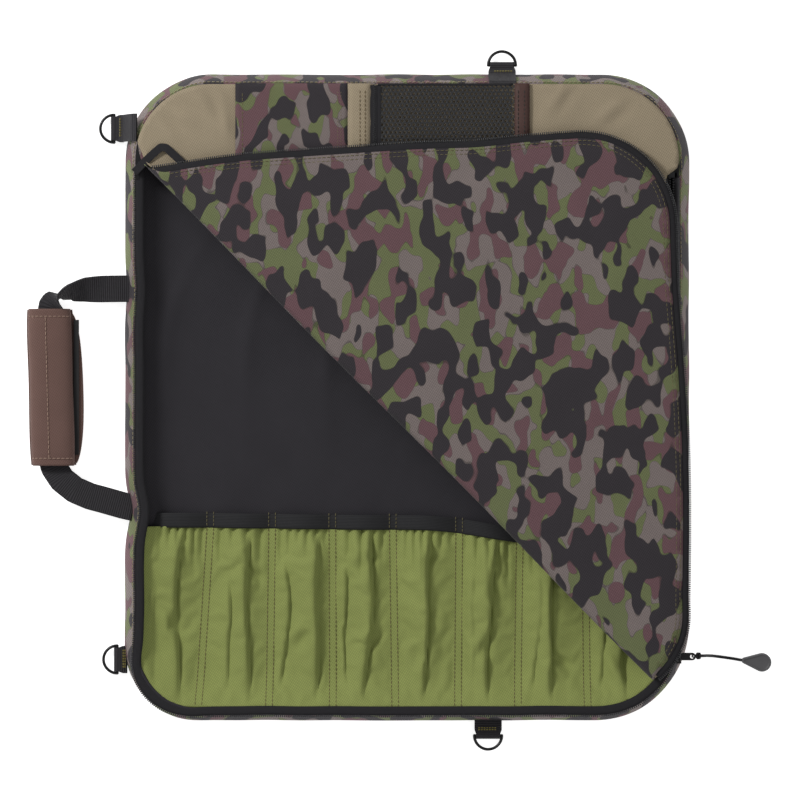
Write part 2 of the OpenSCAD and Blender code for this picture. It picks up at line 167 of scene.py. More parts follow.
def wobble(x, y, size, seed):
    """A smooth, repeatable ripple between -1 and 1, with features about size millimetres wide."""
    total = np.zeros(np.broadcast(x, y).shape)
    rng = np.random.default_rng(seed)
    for octave in range(5):
        angle, phase = rng.uniform(0, 2 * math.pi, 2)
        k = 2 * math.pi / size * rng.uniform(0.6, 1.5)
        bend = 1.3 * np.sin(0.7 * k * (x * math.sin(angle) - y * math.cos(angle)) + phase)
        total = total + np.sin(k * (x * math.cos(angle) + y * math.sin(angle)) + phase + bend)
    return total / 5


# A stitch's rings: place along it, thickness and height, as shares of the whole.
STITCH_RINGS = ((0, 0.55, -0.25), (0.18, 0.95, 0.6), (0.5, 1.0, 1.0), (0.82, 0.95, 0.6), (1, 0.55, -0.25))


def ring_faces(first, count):
    """The faces between a ring of points and the next ring, with count points in each."""
    pairs = [(i, (i + 1) % count) for i in range(count)]
    return [(first + i, first + j, first + count + j, first + count + i) for i, j in pairs]


class Shape:
    """Collects vertices and faces in millimetres, then makes one mesh object."""

    def __init__(self):
        self.verts, self.faces, self.uvs = [], [], []

    def add(self, verts, faces, uvs=None):
        base = len(self.verts)
        self.verts += [tuple(v) for v in verts]
        self.faces += [tuple(base + i for i in f) for f in faces]
        self.uvs += [tuple(u) for u in uvs] if uvs is not None else [(0, 0)] * len(verts)

    def grid(self, rows, closed_u=False, closed_v=False, uvs=None):
        """A sheet from rows of points, of which both ways may close on themselves."""
        n, m = len(rows), len(rows[0])
        faces = []
        for i in range(n if closed_v else n - 1):
            for j in range(m if closed_u else m - 1):
                a, b = i * m + j, i * m + (j + 1) % m
                c, d = ((i + 1) % n) * m + (j + 1) % m, ((i + 1) % n) * m + j
                faces.append((a, b, c, d))
        flat_uv = [u for row in uvs for u in row] if uvs is not None else None
        self.add([p for row in rows for p in row], faces, flat_uv)

    def block(self, centre, along, across, up):
        """A small brick with its upper edges drawn in, from three half-length vectors."""
        c, a, b, u = (np.array(v, float) for v in (centre, along, across, up))
        pts = []
        for k, inset in ((-1, 1.0), (0.35, 1.0), (1, 0.62)):
            pts += [c + k * u + inset * (s * a + t * b) for s, t in ((-1, -1), (1, -1), (1, 1), (-1, 1))]
        faces = [(3, 2, 1, 0), (8, 9, 10, 11)] + ring_faces(0, 4) + ring_faces(4, 4)
        self.add(pts, faces)

    def thread(self, start, end, radius, lift):
        """One stitch: a short rounded bar that dives into the cloth at both ends."""
        a, b = np.array(start, float), np.array(end, float)
        d = (b - a) / max(np.linalg.norm(b - a), 1e-9)
        side = np.cross(d, [0, 0, 1])
        side = side / max(np.linalg.norm(side), 1e-9)
        up = np.cross(side, d)
        rows = []
        for t, size, z in STITCH_RINGS:
            c = a + (b - a) * t + up * (lift * z)
            turn = np.arange(6) * math.pi / 3
            rows.append([c + radius * size * (math.cos(q) * side + math.sin(q) * up) for q in turn])
        self.grid(rows, closed_u=True)
        self.cap(rows)

    def cap(self, rows):
        """Closes both ends of the tube of rows that was added last."""
        n, m = len(rows), len(rows[0])
        base = len(self.verts) - n * m
        self.faces.append(tuple(base + i for i in range(m - 1, -1, -1)))
        self.faces.append(tuple(base + (n - 1) * m + i for i in range(m)))

    def make(self, name, material, shade=True):
        mesh = bpy.data.meshes.new(name)
        mesh.from_pydata([(x * MM, y * MM, z * MM) for x, y, z in self.verts], [], self.faces)
        layer = mesh.uv_layers.new(name="weave")
        index = np.empty(len(mesh.loops), np.int64)
        mesh.loops.foreach_get("vertex_index", index)
        layer.data.foreach_set("uv", (np.array(self.uvs, float)[index] * MM).ravel())
        mesh.materials.append(material)
        if shade:
            mesh.polygons.foreach_set("use_smooth", [True] * len(mesh.polygons))
        obj = bpy.data.objects.new(name, mesh)
        bpy.context.scene.collection.objects.link(obj)
        mesh.validate()
        mesh.update()
        return obj


def apply_modifiers(obj):
    """Turns the modifiers' result into the plain mesh."""
    graph = bpy.context.evaluated_depsgraph_get()
    result = obj.evaluated_get(graph)
    mesh = bpy.data.meshes.new_from_object(result, preserve_all_data_layers=True, depsgraph=graph)
    obj.modifiers.clear()
    obj.data = mesh


def thicken(obj, thickness, offset=-1.0):
    """Gives a sheet its thickness in millimetres."""
    mod = obj.modifiers.new("thickness", "SOLIDIFY")
    mod.thickness = thickness * MM
    mod.offset = offset
    apply_modifiers(obj)


def filled(name, loop, step, place, material, creases=()):
    """A sheet inside a closed outline, meshed evenly and put in place by place(x, y).

    Creases are heights y at which a row of points is set."""
    loop = resample(loop, step, closed=True)
    low, high = loop.min(0), loop.max(0)
    points = [Vector(p) for p in loop]
    edges = [(i, (i + 1) % len(loop)) for i in range(len(loop))]
    row_step = step * math.sqrt(3) / 2
    ys = np.arange(low[1] + row_step / 2, high[1], row_step)
    ys = [y for y in ys if all(abs(y - c) > row_step / 2 for c in creases)]
    ys += [c for c in creases if low[1] < c < high[1]]
    inside = []
    for i, y in enumerate(ys):
        xs = np.arange(low[0] + (step / 2 if i % 2 else 0.01), high[0], step)
        inside += [(x, y) for x in xs]
    inside = np.array(inside)
    keep = inside_mask(inside, loop, 0.55 * step)
    points += [Vector(p) for p in inside[keep]]
    verts, _, faces, *_ = geometry.delaunay_2d_cdt(points, edges, [list(range(len(loop)))], 1, 1e-5)
    shape = Shape()
    flat = np.array([(v.x, v.y) for v in verts])
    placed = place(flat[:, 0], flat[:, 1])
    shape.add(np.stack(placed, axis=1), [tuple(f) for f in faces], flat)
    return shape.make(name, material)


def inside_mask(points, loop, margin):
    """Which points lie inside a closed outline and at least a margin away from it."""
    x, y = points[:, 0], points[:, 1]
    inside = np.zeros(len(points), bool)
    nearest = np.full(len(points), 1e9)
    n = len(loop)
    for i in range(n):
        (x0, y0), (x1, y1) = loop[i], loop[(i + 1) % n]
        crosses = (y0 > y) != (y1 > y)
        with np.errstate(divide="ignore", invalid="ignore"):
            hit = (x1 - x0) * (y - y0) / (y1 - y0) + x0
        inside ^= crosses & (x < hit)
        d = np.array([x1 - x0, y1 - y0])
        t = np.clip(((x - x0) * d[0] + (y - y0) * d[1]) / max(d @ d, 1e-9), 0, 1)
        nearest = np.minimum(nearest, np.hypot(x - x0 - t * d[0], y - y0 - t * d[1]))
    return inside & (nearest > margin)


def ribbon(shape, centres, sides, half_width, thickness, rows=4):
    """A flat strap with rounded edges along centres, with its side vector at each point."""
    pts = np.array(centres, float)
    side = np.array(sides, float)
    side /= np.linalg.norm(side, axis=1, keepdims=True)
    run = tangents(pts)
    up = np.cross(run, side)
    up /= np.maximum(np.linalg.norm(up, axis=1, keepdims=True), 1e-9)
    side = np.cross(up, run)
    width = np.broadcast_to(np.array(half_width, float), (len(pts),))
    length = lengths_along(pts)
    h = thickness / 2
    flat = list(np.linspace(-0.9, 0.9, rows))
    section = [(-1, -0.5), (-0.97, -1)] + [(t, -1) for t in flat] + [(0.97, -1), (1, -0.5)]
    section += [(1, 0.5), (0.97, 1)] + [(t, 1) for t in flat[::-1]] + [(-0.97, 1), (-1, 0.5)]
    grid, uvs = [], []
    for i in range(len(pts)):
        grid.append([pts[i] + side[i] * width[i] * s + up[i] * (h * k) for s, k in section])
        uvs.append([(s * width[i], length[i]) for s, _ in section])
    shape.grid(grid, closed_u=True, uvs=uvs)
    shape.cap(grid)


def stitches(shape, path, length=2.3, gap=1.0, radius=0.27, lift=0.22):
    """A run of stitches along a 3-D path."""
    pts = resample(path, 0.5)
    along = lengths_along(pts)
    s = 0.0
    while s + length < along[-1]:
        a = [np.interp(s, along, pts[:, k]) for k in range(3)]
        b = [np.interp(s + length, along, pts[:, k]) for k in range(3)]
        shape.thread(a, b, radius, lift)
        s += length + gap


# ---- Materials ----

class Nodes:
    """A material's node tree, with short calls to add and join nodes."""

    def __init__(self, name):
        self.material = bpy.data.materials.new(name)
        self.material.use_nodes = True
        self.tree = self.material.node_tree
        self.shader = self.tree.nodes["Principled BSDF"]

    def add(self, kind, inputs=None, **settings):
        node = self.tree.nodes.new(kind)
        for key, value in settings.items():
            setattr(node, key, value)
        for key, value in (inputs or {}).items():
            self.put(node.inputs[key], value)
        return node

    def put(self, socket, value):
        if isinstance(value, bpy.types.NodeSocket):
            self.tree.links.new(value, socket)
        else:
            socket.default_value = value

    def math(self, operation, a, b=0.0, c=0.0):
        return self.add("ShaderNodeMath", {0: a, 1: b, 2: c}, operation=operation).outputs[0]

    def blend(self, factor, a, b, mode="MIX"):
        node = self.add("ShaderNodeMix", data_type="RGBA", blend_type=mode)
        self.put(node.inputs[0], factor)
        self.put(node.inputs[6], a)
        self.put(node.inputs[7], b)
        return node.outputs[2]

    def band(self, value, low, high):
        """0 below low and 1 above high, smoothly between."""
        inputs = {0: value, 1: low, 2: high}
        return self.add("ShaderNodeMapRange", inputs, interpolation_type="SMOOTHSTEP").outputs[0]

    def space(self, scale=(1, 1, 1), rotation=(0, 0, 0), location=(0, 0, 0), uv=False):
        if uv:
            source = self.add("ShaderNodeUVMap", uv_map="weave").outputs[0]
        else:
            source = self.add("ShaderNodeTexCoord").outputs["Object"]
        inputs = {"Vector": source, "Scale": scale, "Rotation": rotation, "Location": location}
        return self.add("ShaderNodeMapping", inputs).outputs[0]

    def noise(self, vector, scale, detail=2.0, roughness=0.5):
        inputs = {"Vector": vector, "Scale": scale, "Detail": detail, "Roughness": roughness}
        return self.add("ShaderNodeTexNoise", inputs).outputs[0]

    def pits(self, scale):
        """Distance to the nearest point of a scatter, for a pebbled or open-celled surface."""
        inputs = {"Vector": self.space(), "Scale": scale}
        return self.add("ShaderNodeTexVoronoi", inputs).outputs["Distance"]

    def shaded(self, colour, shade):
        """A colour made darker by a shade from 0 to 1."""
        grey = self.add("ShaderNodeCombineColor", {0: shade, 1: shade, 2: shade}).outputs[0]
        return self.blend(1.0, colour, grey, "MULTIPLY")

    def waves(self, vector, pitch, axis="X", distortion=0.0):
        """Fine parallel ridges, one each pitch metres."""
        node = self.add(
            "ShaderNodeTexWave",
            {"Vector": vector, "Scale": math.pi / (10 * pitch), "Distortion": distortion},
            wave_type="BANDS",
            bands_direction=axis,
        )
        return node.outputs["Fac"]

    def bump(self, height, strength, distance):
        node = self.add("ShaderNodeBump", {"Height": height, "Strength": strength, "Distance": distance})
        self.put(self.shader.inputs["Normal"], node.outputs[0])

    def finish(self, colour, roughness, sheen=0.0, specular=0.5):
        self.put(self.shader.inputs["Base Color"], colour)
        self.put(self.shader.inputs["Roughness"], roughness)
        self.shader.inputs["Sheen Weight"].default_value = sheen
        self.shader.inputs["Sheen Roughness"].default_value = 0.5
        self.shader.inputs["Sheen Tint"].default_value = (1, 1, 1, 1)
        self.shader.inputs["Specular IOR Level"].default_value = specular
        return self.material


def rgba(rgb):
    return (rgb[0], rgb[1], rgb[2], 1.0)


TWILL_PITCH = 0.0014
CLOTH_ROUGHNESS = 0.84
CLOTH_SHEEN = 0.08


def twill(n):
    """The weave's height: fine diagonal ridges broken by the crossing threads."""
    turned = n.space(rotation=(0, 0, math.radians(32)))
    ridges = n.waves(turned, TWILL_PITCH, "X", 0.3)
    crossing = n.waves(turned, TWILL_PITCH * 1.25, "Y", 0.3)
    weave = n.math("MULTIPLY_ADD", crossing, 0.45, ridges)
    n.bump(weave, 0.35, 0.00022)
    return weave


def cloth_finish(n, colour, weave, specular=0.16, worn=0.16):
    """Colour varies a little over the cloth at random, and is darker between the threads as painted shade.
    """
    spread = n.noise(n.space(), 26, 3, 0.6)
    fine = n.noise(n.space(), 1100, 2, 0.6)
    shade = n.math("MULTIPLY_ADD", spread, worn, 1 - worn / 2)
    shade = n.math("MULTIPLY", shade, n.math("MULTIPLY_ADD", fine, 0.34, 0.83))
    # Painted shade: the colour is darker where the weave's height is low, between the threads.
    shade = n.math("MULTIPLY", shade, n.math("MULTIPLY_ADD", weave, 0.3, 0.79))
    rough = n.math("MULTIPLY_ADD", fine, 0.14, CLOTH_ROUGHNESS - 0.07)
    return n.finish(n.shaded(colour, shade), rough, CLOTH_SHEEN, specular=specular)


def plain_cloth(name, rgb, **finish):
    n = Nodes(name)
    return cloth_finish(n, rgba(rgb), twill(n), **finish)


CAMO = {
    "taupe": (0.208, 0.172, 0.164),
    "olive": (0.152, 0.172, 0.080),
    "plum": (0.150, 0.082, 0.092),
    "charcoal": (0.041, 0.036, 0.041),
}


# The printed layers over the taupe: colour, place in the noise, fineness and the level each is cut at.
CAMO_LAYERS = (("olive", 3.1, 60.0, 0.505), ("plum", 7.7, 62.0, 0.573), ("charcoal", 12.9, 59.0, 0.560))
CAMO_STRETCH = (1.3, 0.8, 1.0)
CAMO_RIM = (0.03, 0.028, 0.022)
SWIRL_FINENESS, SWIRL_REACH = 84.0, 0.010
EDGE_BLUR, RIM_WIDTH, RIM_STRENGTH = 0.003, 0.019, 0.55


def camo_cloth(name, shift=(0.0, 0.0, 0.0), turn=0.0):
    """Printed patches: each layer is a smooth field cut at a level, with a darker line round it."""
    n = Nodes(name)
    colour = rgba(CAMO["taupe"])
    for key, offset, scale, level in CAMO_LAYERS:
        place = tuple(c + offset for c in shift)
        turned = (0, 0, math.radians(turn + 3 * offset))
        spot = n.space(scale=CAMO_STRETCH, rotation=turned, location=place)
        bend = n.noise(spot, SWIRL_FINENESS, 0.0)
        sway = n.noise(n.space(location=(offset, 5.0, 0.0)), SWIRL_FINENESS, 0.0)
        reach = {k: n.math("MULTIPLY", value, SWIRL_REACH) for k, value in enumerate((bend, sway))}
        push = n.add("ShaderNodeCombineXYZ", reach).outputs[0]
        pushed = n.add("ShaderNodeVectorMath", {0: spot, 1: push}, operation="ADD").outputs[0]
        field = n.noise(pushed, scale, 0.0, 0.0)
        inside = n.band(field, level - EDGE_BLUR, level + EDGE_BLUR)
        rim = n.math("SUBTRACT", n.band(field, level - RIM_WIDTH, level - EDGE_BLUR), inside)
        colour = n.blend(n.math("MULTIPLY", rim, RIM_STRENGTH), colour, rgba(CAMO_RIM))
        colour = n.blend(inside, colour, rgba(CAMO[key]))
    return cloth_finish(n, colour, twill(n))


def ribbed(name, rgb, pitch, across=False, strength=0.5, depth=0.0003):
    """Woven tape or webbing, whose ribs follow its own length."""
    n = Nodes(name)
    place = n.space(uv=True)
    ribs = n.waves(place, pitch, "Y" if across else "X", 0.2)
    cross = n.waves(place, pitch * 0.6, "X" if across else "Y", 0.4)
    height = n.math("MULTIPLY_ADD", cross, 0.4, ribs)
    n.bump(height, strength, depth)
    # Painted shade: the colour is darker where the ribs' height is low, in the grooves.
    shade = n.math("MULTIPLY_ADD", height, 0.35, 0.72)
    colour = n.shaded(rgba(rgb), shade)
    rough = n.math("MULTIPLY_ADD", n.noise(n.space(), 400), 0.2, 0.6)
    return n.finish(colour, rough, 0.05, specular=0.2)


def thread_material(name, rgb):
    n = Nodes(name)
    twist = n.noise(n.space(), 2500, 1)
    n.bump(twist, 0.4, 0.0001)
    return n.finish(rgba(rgb), n.math("MULTIPLY_ADD", twist, 0.2, 0.55), 0.2, specular=0.4)


def moulded(name, rgb, roughness, grain=1500, strength=0.12, metallic=0.0, specular=0.5):
    """Moulded plastic, rubber or painted wire, with a fine surface grain."""
    n = Nodes(name)
    speck = n.noise(n.space(), grain, 2)
    n.bump(speck, strength, 0.0001)
    patch = n.noise(n.space(), 120, 2)
    n.shader.inputs["Metallic"].default_value = metallic
    lighter = rgba([c * 1.6 + 0.004 for c in rgb])
    shade = n.blend(n.math("MULTIPLY", patch, 0.35), rgba(rgb), lighter)
    return n.finish(shade, n.math("MULTIPLY_ADD", patch, 0.16, roughness - 0.08), specular=specular)


def grained(name, rgb):
    """Leather-like trim with a pebbled grain."""
    n = Nodes(name)
    cells = n.pits(1100.0)
    n.bump(cells, 0.35, 0.0003)
    spread = n.noise(n.space(), 60, 3)
    colour = n.blend(spread, rgba([c * 0.8 for c in rgb]), rgba([c * 1.25 for c in rgb]))
    return n.finish(colour, n.math("MULTIPLY_ADD", cells, 0.3, 0.5), specular=0.4)


def foam_material():
    n = Nodes("foam")
    cells = n.pits(900.0)
    n.bump(cells, 0.5, 0.0004)
    # Painted shade: the colour is darker in the sunken pits of the cells.
    colour = n.blend(cells, rgba((0.05, 0.05, 0.052)), rgba((0.11, 0.11, 0.112)))
    return n.finish(colour, 0.95, specular=0.2)


def floor_material():
    n = Nodes("floor")
    rough = n.math("MULTIPLY_ADD", n.noise(n.space(), 5), 0.05, 0.85)
    n.finish(rgba((0.93, 0.93, 0.93)), rough, specular=0.1)
    n.shader.inputs["Emission Color"].default_value = (1, 1, 1, 1)
    n.shader.inputs["Emission Strength"].default_value = 0.78
    return n.material


M = {
    "camo": camo_cloth("camo_outer", shift=(0.31, 0.17, 0.0), turn=20),
    "camo_lining": camo_cloth("camo_lining", turn=-25),
    "camo_patch": camo_cloth("camo_patch", shift=(0.77, 0.42, 0.0), turn=55),
    "khaki": plain_cloth("khaki", (0.345, 0.283, 0.195)),
    "green": plain_cloth("green", (0.262, 0.302, 0.088), specular=0.3),
    "black": plain_cloth("black_lining", (0.033, 0.031, 0.036), worn=0.3),
    "elastic": ribbed("black_elastic", (0.026, 0.026, 0.028), 0.0011, strength=0.6),
    "tape": ribbed("zip_tape", (0.022, 0.021, 0.024), 0.0008),
    "teeth": moulded("zip_teeth", (0.018, 0.018, 0.02), 0.38),
    "mesh": moulded("mesh", (0.016, 0.016, 0.017), 0.6),
    "trim": grained("brown_trim", (0.074, 0.036, 0.030)),
    "webbing": ribbed("webbing", (0.036, 0.034, 0.038), 0.0016, across=True, strength=0.8, depth=0.0005),
    "wire": moulded("ring_wire", (0.012, 0.012, 0.013), 0.3, metallic=0.4),
    "slider": moulded("slider_metal", (0.018, 0.018, 0.019), 0.35, metallic=0.6),
    "cord": ribbed("pull_cord", (0.02, 0.02, 0.022), 0.0009, across=True),
    "rubber": moulded("pull_rubber", (0.085, 0.084, 0.088), 0.55),
    "grip": plain_cloth("grip_fabric", (0.152, 0.090, 0.076)),
    "hook": moulded("hook_loop", (0.016, 0.016, 0.017), 0.9, grain=3000, strength=0.9),
    "foam": foam_material(),
    "thread_khaki": thread_material("thread_khaki", (0.30, 0.25, 0.13)),
    "thread_olive": thread_material("thread_olive", (0.16, 0.135, 0.055)),
    "thread_brown": thread_material("thread_brown", (0.13, 0.085, 0.03)),
    "thread_dark": thread_material("thread_dark", (0.03, 0.026, 0.022)),
    "thread_cream": thread_material("thread_cream", (0.40, 0.27, 0.20)),
    "thread_yellow": thread_material("thread_yellow", (0.34, 0.28, 0.06)),
}


def settle(obj, body, slot, *nodes):
    """The piece rides on its body and stands for its CAD nodes; its slot is not used."""
    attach(obj, body)
    if nodes:
        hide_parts(*nodes)
    return obj


# ---- Pull cord and drop ----

CORD_ROUTE = [
    (0.216, -0.1906, 0.0254), (0.2178, -0.1906, 0.0242), (0.2192, -0.1907, 0.0222),
    (0.2204, -0.1908, 0.0196), (0.2215, -0.1909, 0.0169), (0.2227, -0.1911, 0.0141),
    (0.2241, -0.1913, 0.0114), (0.2258, -0.1915, 0.0089), (0.2279, -0.1918, 0.0068),
    (0.2305, -0.1922, 0.0052), (0.2334, -0.1926, 0.0042), (0.2366, -0.1931, 0.0036),
    (0.24, -0.1936, 0.0032), (0.2433, -0.1941, 0.0031), (0.2465, -0.1947, 0.003),
    (0.2496, -0.1952, 0.003),
]
CORD_D = 2.2
CORD_Y = -190.6


def rings_round(points, side, up, radius, turn):
    """A ring of points round each point of a line, from its two crosswise directions."""
    return [
        [p + radius * (math.cos(q) * s + math.sin(q) * u) for q in turn]
        for p, s, u in zip(points, side, up)
    ]


def tube(shape, path, radius, sides=10):
    """A round tube along a path, closed at both ends."""
    pts = np.array(path, float)
    run = tangents(pts)
    side = np.cross(run, [0, 1, 0.02])
    side /= np.linalg.norm(side, axis=1, keepdims=True)
    up = np.cross(side, run)
    turn = np.linspace(0, 2 * math.pi, sides, endpoint=False)
    uvs = [[(radius * q, length) for q in turn] for length in lengths_along(pts)]
    rows = rings_round(pts, side, up, radius, turn)
    shape.grid(rows, closed_u=True, uvs=uvs)
    shape.cap(rows)


def build_pull_cord():
    route = resample(np.array(CORD_ROUTE) / MM, 0.8)
    shape = Shape()
    tube(shape, route, CORD_D / 2, 12)
    cord = settle(shape.make("pull_cord_braid", M["cord"]), "pull", "pull_cord", "pull_cord")
    knot = Shape()
    for k in range(3):
        a = np.linspace(0, 2 * math.pi, 25)
        tilt = math.radians(60 * k - 50)
        x = 214.9 + 0.8 * np.cos(a) * math.cos(tilt) + 0.75 * (k - 1)
        y = CORD_Y + 1.75 * np.sin(a)
        z = 25.6 + 1.5 * np.cos(a) * math.sin(tilt) + 0.3 * np.sin(2 * a)
        ring = np.stack([x, y, z], axis=1)[:-1]
        closed_tube(knot, ring, 0.85)
    for side in (-1, 1):
        strands = ((209.6, 0.4, 27.7), (211.6, 0.9, 27.9), (213.4, 0.6, 27.0), (214.6, 0.2, 26.0))
        loop = [(x, CORD_Y + off * side, z) for x, off, z in strands]
        tube(knot, resample(loop, 0.5), 0.55, 8)
    knot_obj = settle(knot.make("pull_cord_knot", M["cord"]), "pull", "pull_cord", "pull_knot")
    drop = build_drop()
    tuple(CORD_ROUTE[0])


def closed_tube(shape, ring, radius, sides=8):
    """A tube that runs round a closed line."""
    pts = np.array(ring, float)
    run = tangents(pts, closed=True)
    side = np.cross(run, [0.1, 0.2, 1.0])
    side /= np.maximum(np.linalg.norm(side, axis=1, keepdims=True), 1e-9)
    up = np.cross(side, run)
    turn = np.linspace(0, 2 * math.pi, sides, endpoint=False)
    shape.grid(rings_round(pts, side, up, radius, turn), closed_u=True, closed_v=True)


DROP_TURN = -6.0
# The drop's height and how far its side stands in, from the bottom up and over the raised rim.
DROP_PROFILE = [
    (-2.3, 1.7), (-2.3, 1.0), (-1.9, 0.35), (-1.1, 0.0), (1.1, 0.0),
    (1.9, 0.3), (2.3, 0.9), (2.25, 1.5), (1.7, 1.9), (1.6, 2.2),
]


def build_drop():
    """The rubber drop: a rounded teardrop with a raised rim and a neck that holds the cord."""
    low, high = node_mm("pull_drop")
    length, radius, neck_r = 15.2, 6.9, 2.3
    lean = math.degrees(math.asin((radius - neck_r) / length))
    neck = np.array([low[0] + neck_r - 1.4, -195.3])
    along, across = unit(DROP_TURN), unit(DROP_TURN + 90)
    turn = np.column_stack([along, across])
    shape = Shape()
    middle_z = (low[2] + high[2]) / 2
    rows = []
    for z, inset in DROP_PROFILE:
        wide, narrow = max(radius - inset, 0.2), max(neck_r - inset, 0.1)
        ring = [length * unit(0) + wide * unit(a) for a in np.linspace(-90 - lean, 90 + lean, 40)]
        ring += [neck_r * unit(0) + narrow * unit(a) for a in np.linspace(90 + lean, 270 - lean, 14)]
        rows.append([(*(neck - turn @ np.array([neck_r, 0]) + turn @ p), middle_z + z) for p in ring])
    shape.grid(rows, closed_u=True)
    shape.cap(rows)
    return settle(shape.make("pull_drop_rubber", M["rubber"]), "pull", "pull_rubber", "pull_drop")


build_pull_cord()


# ---- The bag's outline ----

def true_outline(step=3.0):
    """The bag's outline without any softness, from the bottom right corner round anticlockwise."""
    top, left, right = CORNERS["top"], CORNERS["bottom_left"], CORNERS["bottom_right"]
    points = arc((HALF_W - right, right - HALF_H), right, -90, 0, step)
    points += arc((HALF_W - top, HALF_H - top), top, 0, 90, step)
    points += arc((top - HALF_W, HALF_H - top), top, 90, 180, step)
    points += arc((left - HALF_W, left - HALF_H), left, 180, 270, step)
    return resample(points, step, closed=True)


# The handle's lower root draws the left edge in here.
PINCH_Y, PINCH_REACH = -84.0, 16.0


def edge_softness(points):
    """How far the soft edge stands in from the true outline, in millimetres."""
    x, y = points[:, 0], points[:, 1]
    pinch = np.zeros(len(x))
    for place, depth in ((PINCH_Y, 3.6), (80, 1.2)):
        pinch += depth * bell((y - place) / PINCH_REACH) * (x < -150)
    return pinch + 0.5 * wobble(x, y, 90, 4) - 0.8


EDGE = true_outline()
EDGE_RUN = tangents(EDGE, closed=True)
INWARD = np.stack([-EDGE_RUN[:, 1], EDGE_RUN[:, 0]], axis=1)
EDGE_SOFT = edge_softness(EDGE)
EDGE_LENGTH = lengths_along(EDGE)


def outline(inset):
    """The soft outline, moved in by inset."""
    return EDGE + INWARD * (inset + EDGE_SOFT)[:, None]


def loft(shape, profile):
    """Sweeps a profile of (inset, z) rows round the bag's edge."""
    rows, uvs = [], []
    run = 0.0
    for i, (inset, z) in enumerate(profile):
        if i:
            run += math.hypot(inset - profile[i - 1][0], z - profile[i - 1][1])
        rows.append(np.column_stack([outline(inset), np.full(len(EDGE), z)]))
        uvs.append([(run, s) for s in EDGE_LENGTH])
    shape.grid(rows, closed_u=True, uvs=uvs)


def build_shell():
    """The camouflage side wall: it rounds up from the back panel and leans in to the zip."""
    wall = Shape()
    outside = [(2.6, 0.25), (1.0, 0.5), (0.2, 1.4), (0.0, 2.8), (0.9, 6), (2.1, 9.5), (3.5, 13)]
    outside += [(5.0, 16.5), (6.5, 19.5)]
    rim = [(7.6, 21.3), (8.4, 22.0), (9.3, 21.9), (9.5, 21.0)]
    inside = [(8.3, 17), (6.6, 12), (4.6, 6.5), (3.6, 3.2), (3.2, 1.2)]
    profile = outside + rim + inside
    loft(wall, profile)
    bottom = len(profile) - 1
    m = len(EDGE)
    wall.faces += [(bottom * m + i, bottom * m + (i + 1) % m, (i + 1) % m, i) for i in range(m)]
    settle(wall.make("side_wall", M["camo"]), "bag", "camo_fabric", "gusset")
    back = filled("back_cloth", outline(1.4), 9.0, lambda x, y: (x, y, 0.35 + 0 * x), M["camo"])
    thicken(back, 0.3, 0.0)
    settle(back, "bag", "camo_fabric", "back_panel")


def build_border_stitching():
    """The topstitching along the wall's upper edge, in khaki thread."""
    shape = Shape()
    path = np.column_stack([outline(6.9), np.full(len(EDGE), 20.7)])
    stitches(shape, np.vstack([path, path[:1]]), radius=0.3, lift=0.35)
    settle(shape.make("border_stitching", M["thread_khaki"]), "bag", "camo_fabric")


build_shell()
build_border_stitching()


# ---- Black lining ----

def lining_height(x, y):
    """The floor of the bag: loose cloth with soft folds, which rises to the wall at the left."""
    ripple = 0.35 * wobble(x, y, 120, 11) + 0.2 * wobble(x, y, 38, 12)
    lean = x - 0.34 * y
    crests = np.exp(-np.abs(np.sin(lean / 19 + 0.9 * np.sin(y / 47))) * 3.2)
    folds = 2.6 * crests * (0.6 + 0.4 * np.sin(y / 31))
    ridge = 2.2 * bell((x * 0.5 - y * 0.86 - 40 + 6 * np.sin(x / 40)) / 9) * smooth((y + 60) / 80)
    loose = smooth((y + 84) / 30) * smooth((HALF_W - 12 - np.abs(x)) / 30)
    wall = 13.0 * bell(np.maximum(x + HALF_W - 8, 0) / 17) * smooth((y + 110) / 26)
    return lining_top + 0.75 + ripple + loose * (folds + ridge) + wall * smooth((HALF_H - 12 - y) / 40)


def build_lining():
    """Black cloth: the floor of the bag, and the inside of its wall."""
    laid = lambda x, y: (x, y, lining_height(x, y))
    floor = filled("floor_lining", outline(6.5), 5.0, laid, M["black"])
    thicken(floor, 0.5)
    settle(floor, "bag", "black_lining", "back_lining", "back_foam")
    side = Shape()
    upward = [(6.6, 10), (8.2, 14), (9.7, 18), (10.6, 21.5), (10.2, 22.2), (8.9, 22.3)]
    loft(side, [(6.2, lining_top + 0.6)] + upward)
    side_obj = side.make("wall_lining", M["black"])
    thicken(side_obj, 0.3)
    settle(side_obj, "bag", "black_lining")


build_lining()


# ---- Stick pockets ----

DIVIDERS = [-145.8, -100.0, -55.4, -10.6, 38.6, 83.4, 132.0]
POCKET_LEFT, POCKET_RIGHT = -194.0, 184.0
STRIP_HALF = 2.7
BAND_H = 11.0
BOTTOM_Y = -229.2


def band_top(x):
    """The upper edge of the elastic band, which droops towards the right."""
    return -86.3 - 0.9 * np.cos(np.asarray(x) / 60) - 14.5 * smooth((np.asarray(x) - 5) / 120)


def divider_x(i, depth):
    """A divider's place at a depth below the mouth, from 0 to 1. The first one slants."""
    slant = -8.5 if i == 0 else -2.0 * math.sin(i * 1.7)
    return DIVIDERS[i] + slant * depth


def puff(x, depth, power=1.1):
    """How full each pocket stands, from 0 on its seams to 1 in its middle."""
    edges = [np.full_like(x, POCKET_LEFT)]
    edges += [divider_x(i, depth) for i in range(len(DIVIDERS))]
    edges += [np.full_like(x, POCKET_RIGHT)]
    full = np.zeros_like(x)
    for left, right in zip(edges[:-1], edges[1:]):
        share = (x - left - STRIP_HALF) / (right - left - 2 * STRIP_HALF)
        inside = (share > 0) & (share < 1)
        full = np.where(inside, np.sin(math.pi * np.clip(share, 0, 1)) ** power, full)
    return full


FOLD_SEED = 11
DENT_SEED = 4


def pocket_edges():
    """Each pocket's left and right edge at its mouth."""
    edges = [POCKET_LEFT] + DIVIDERS + [POCKET_RIGHT]
    return zip(edges[:-1], edges[1:])


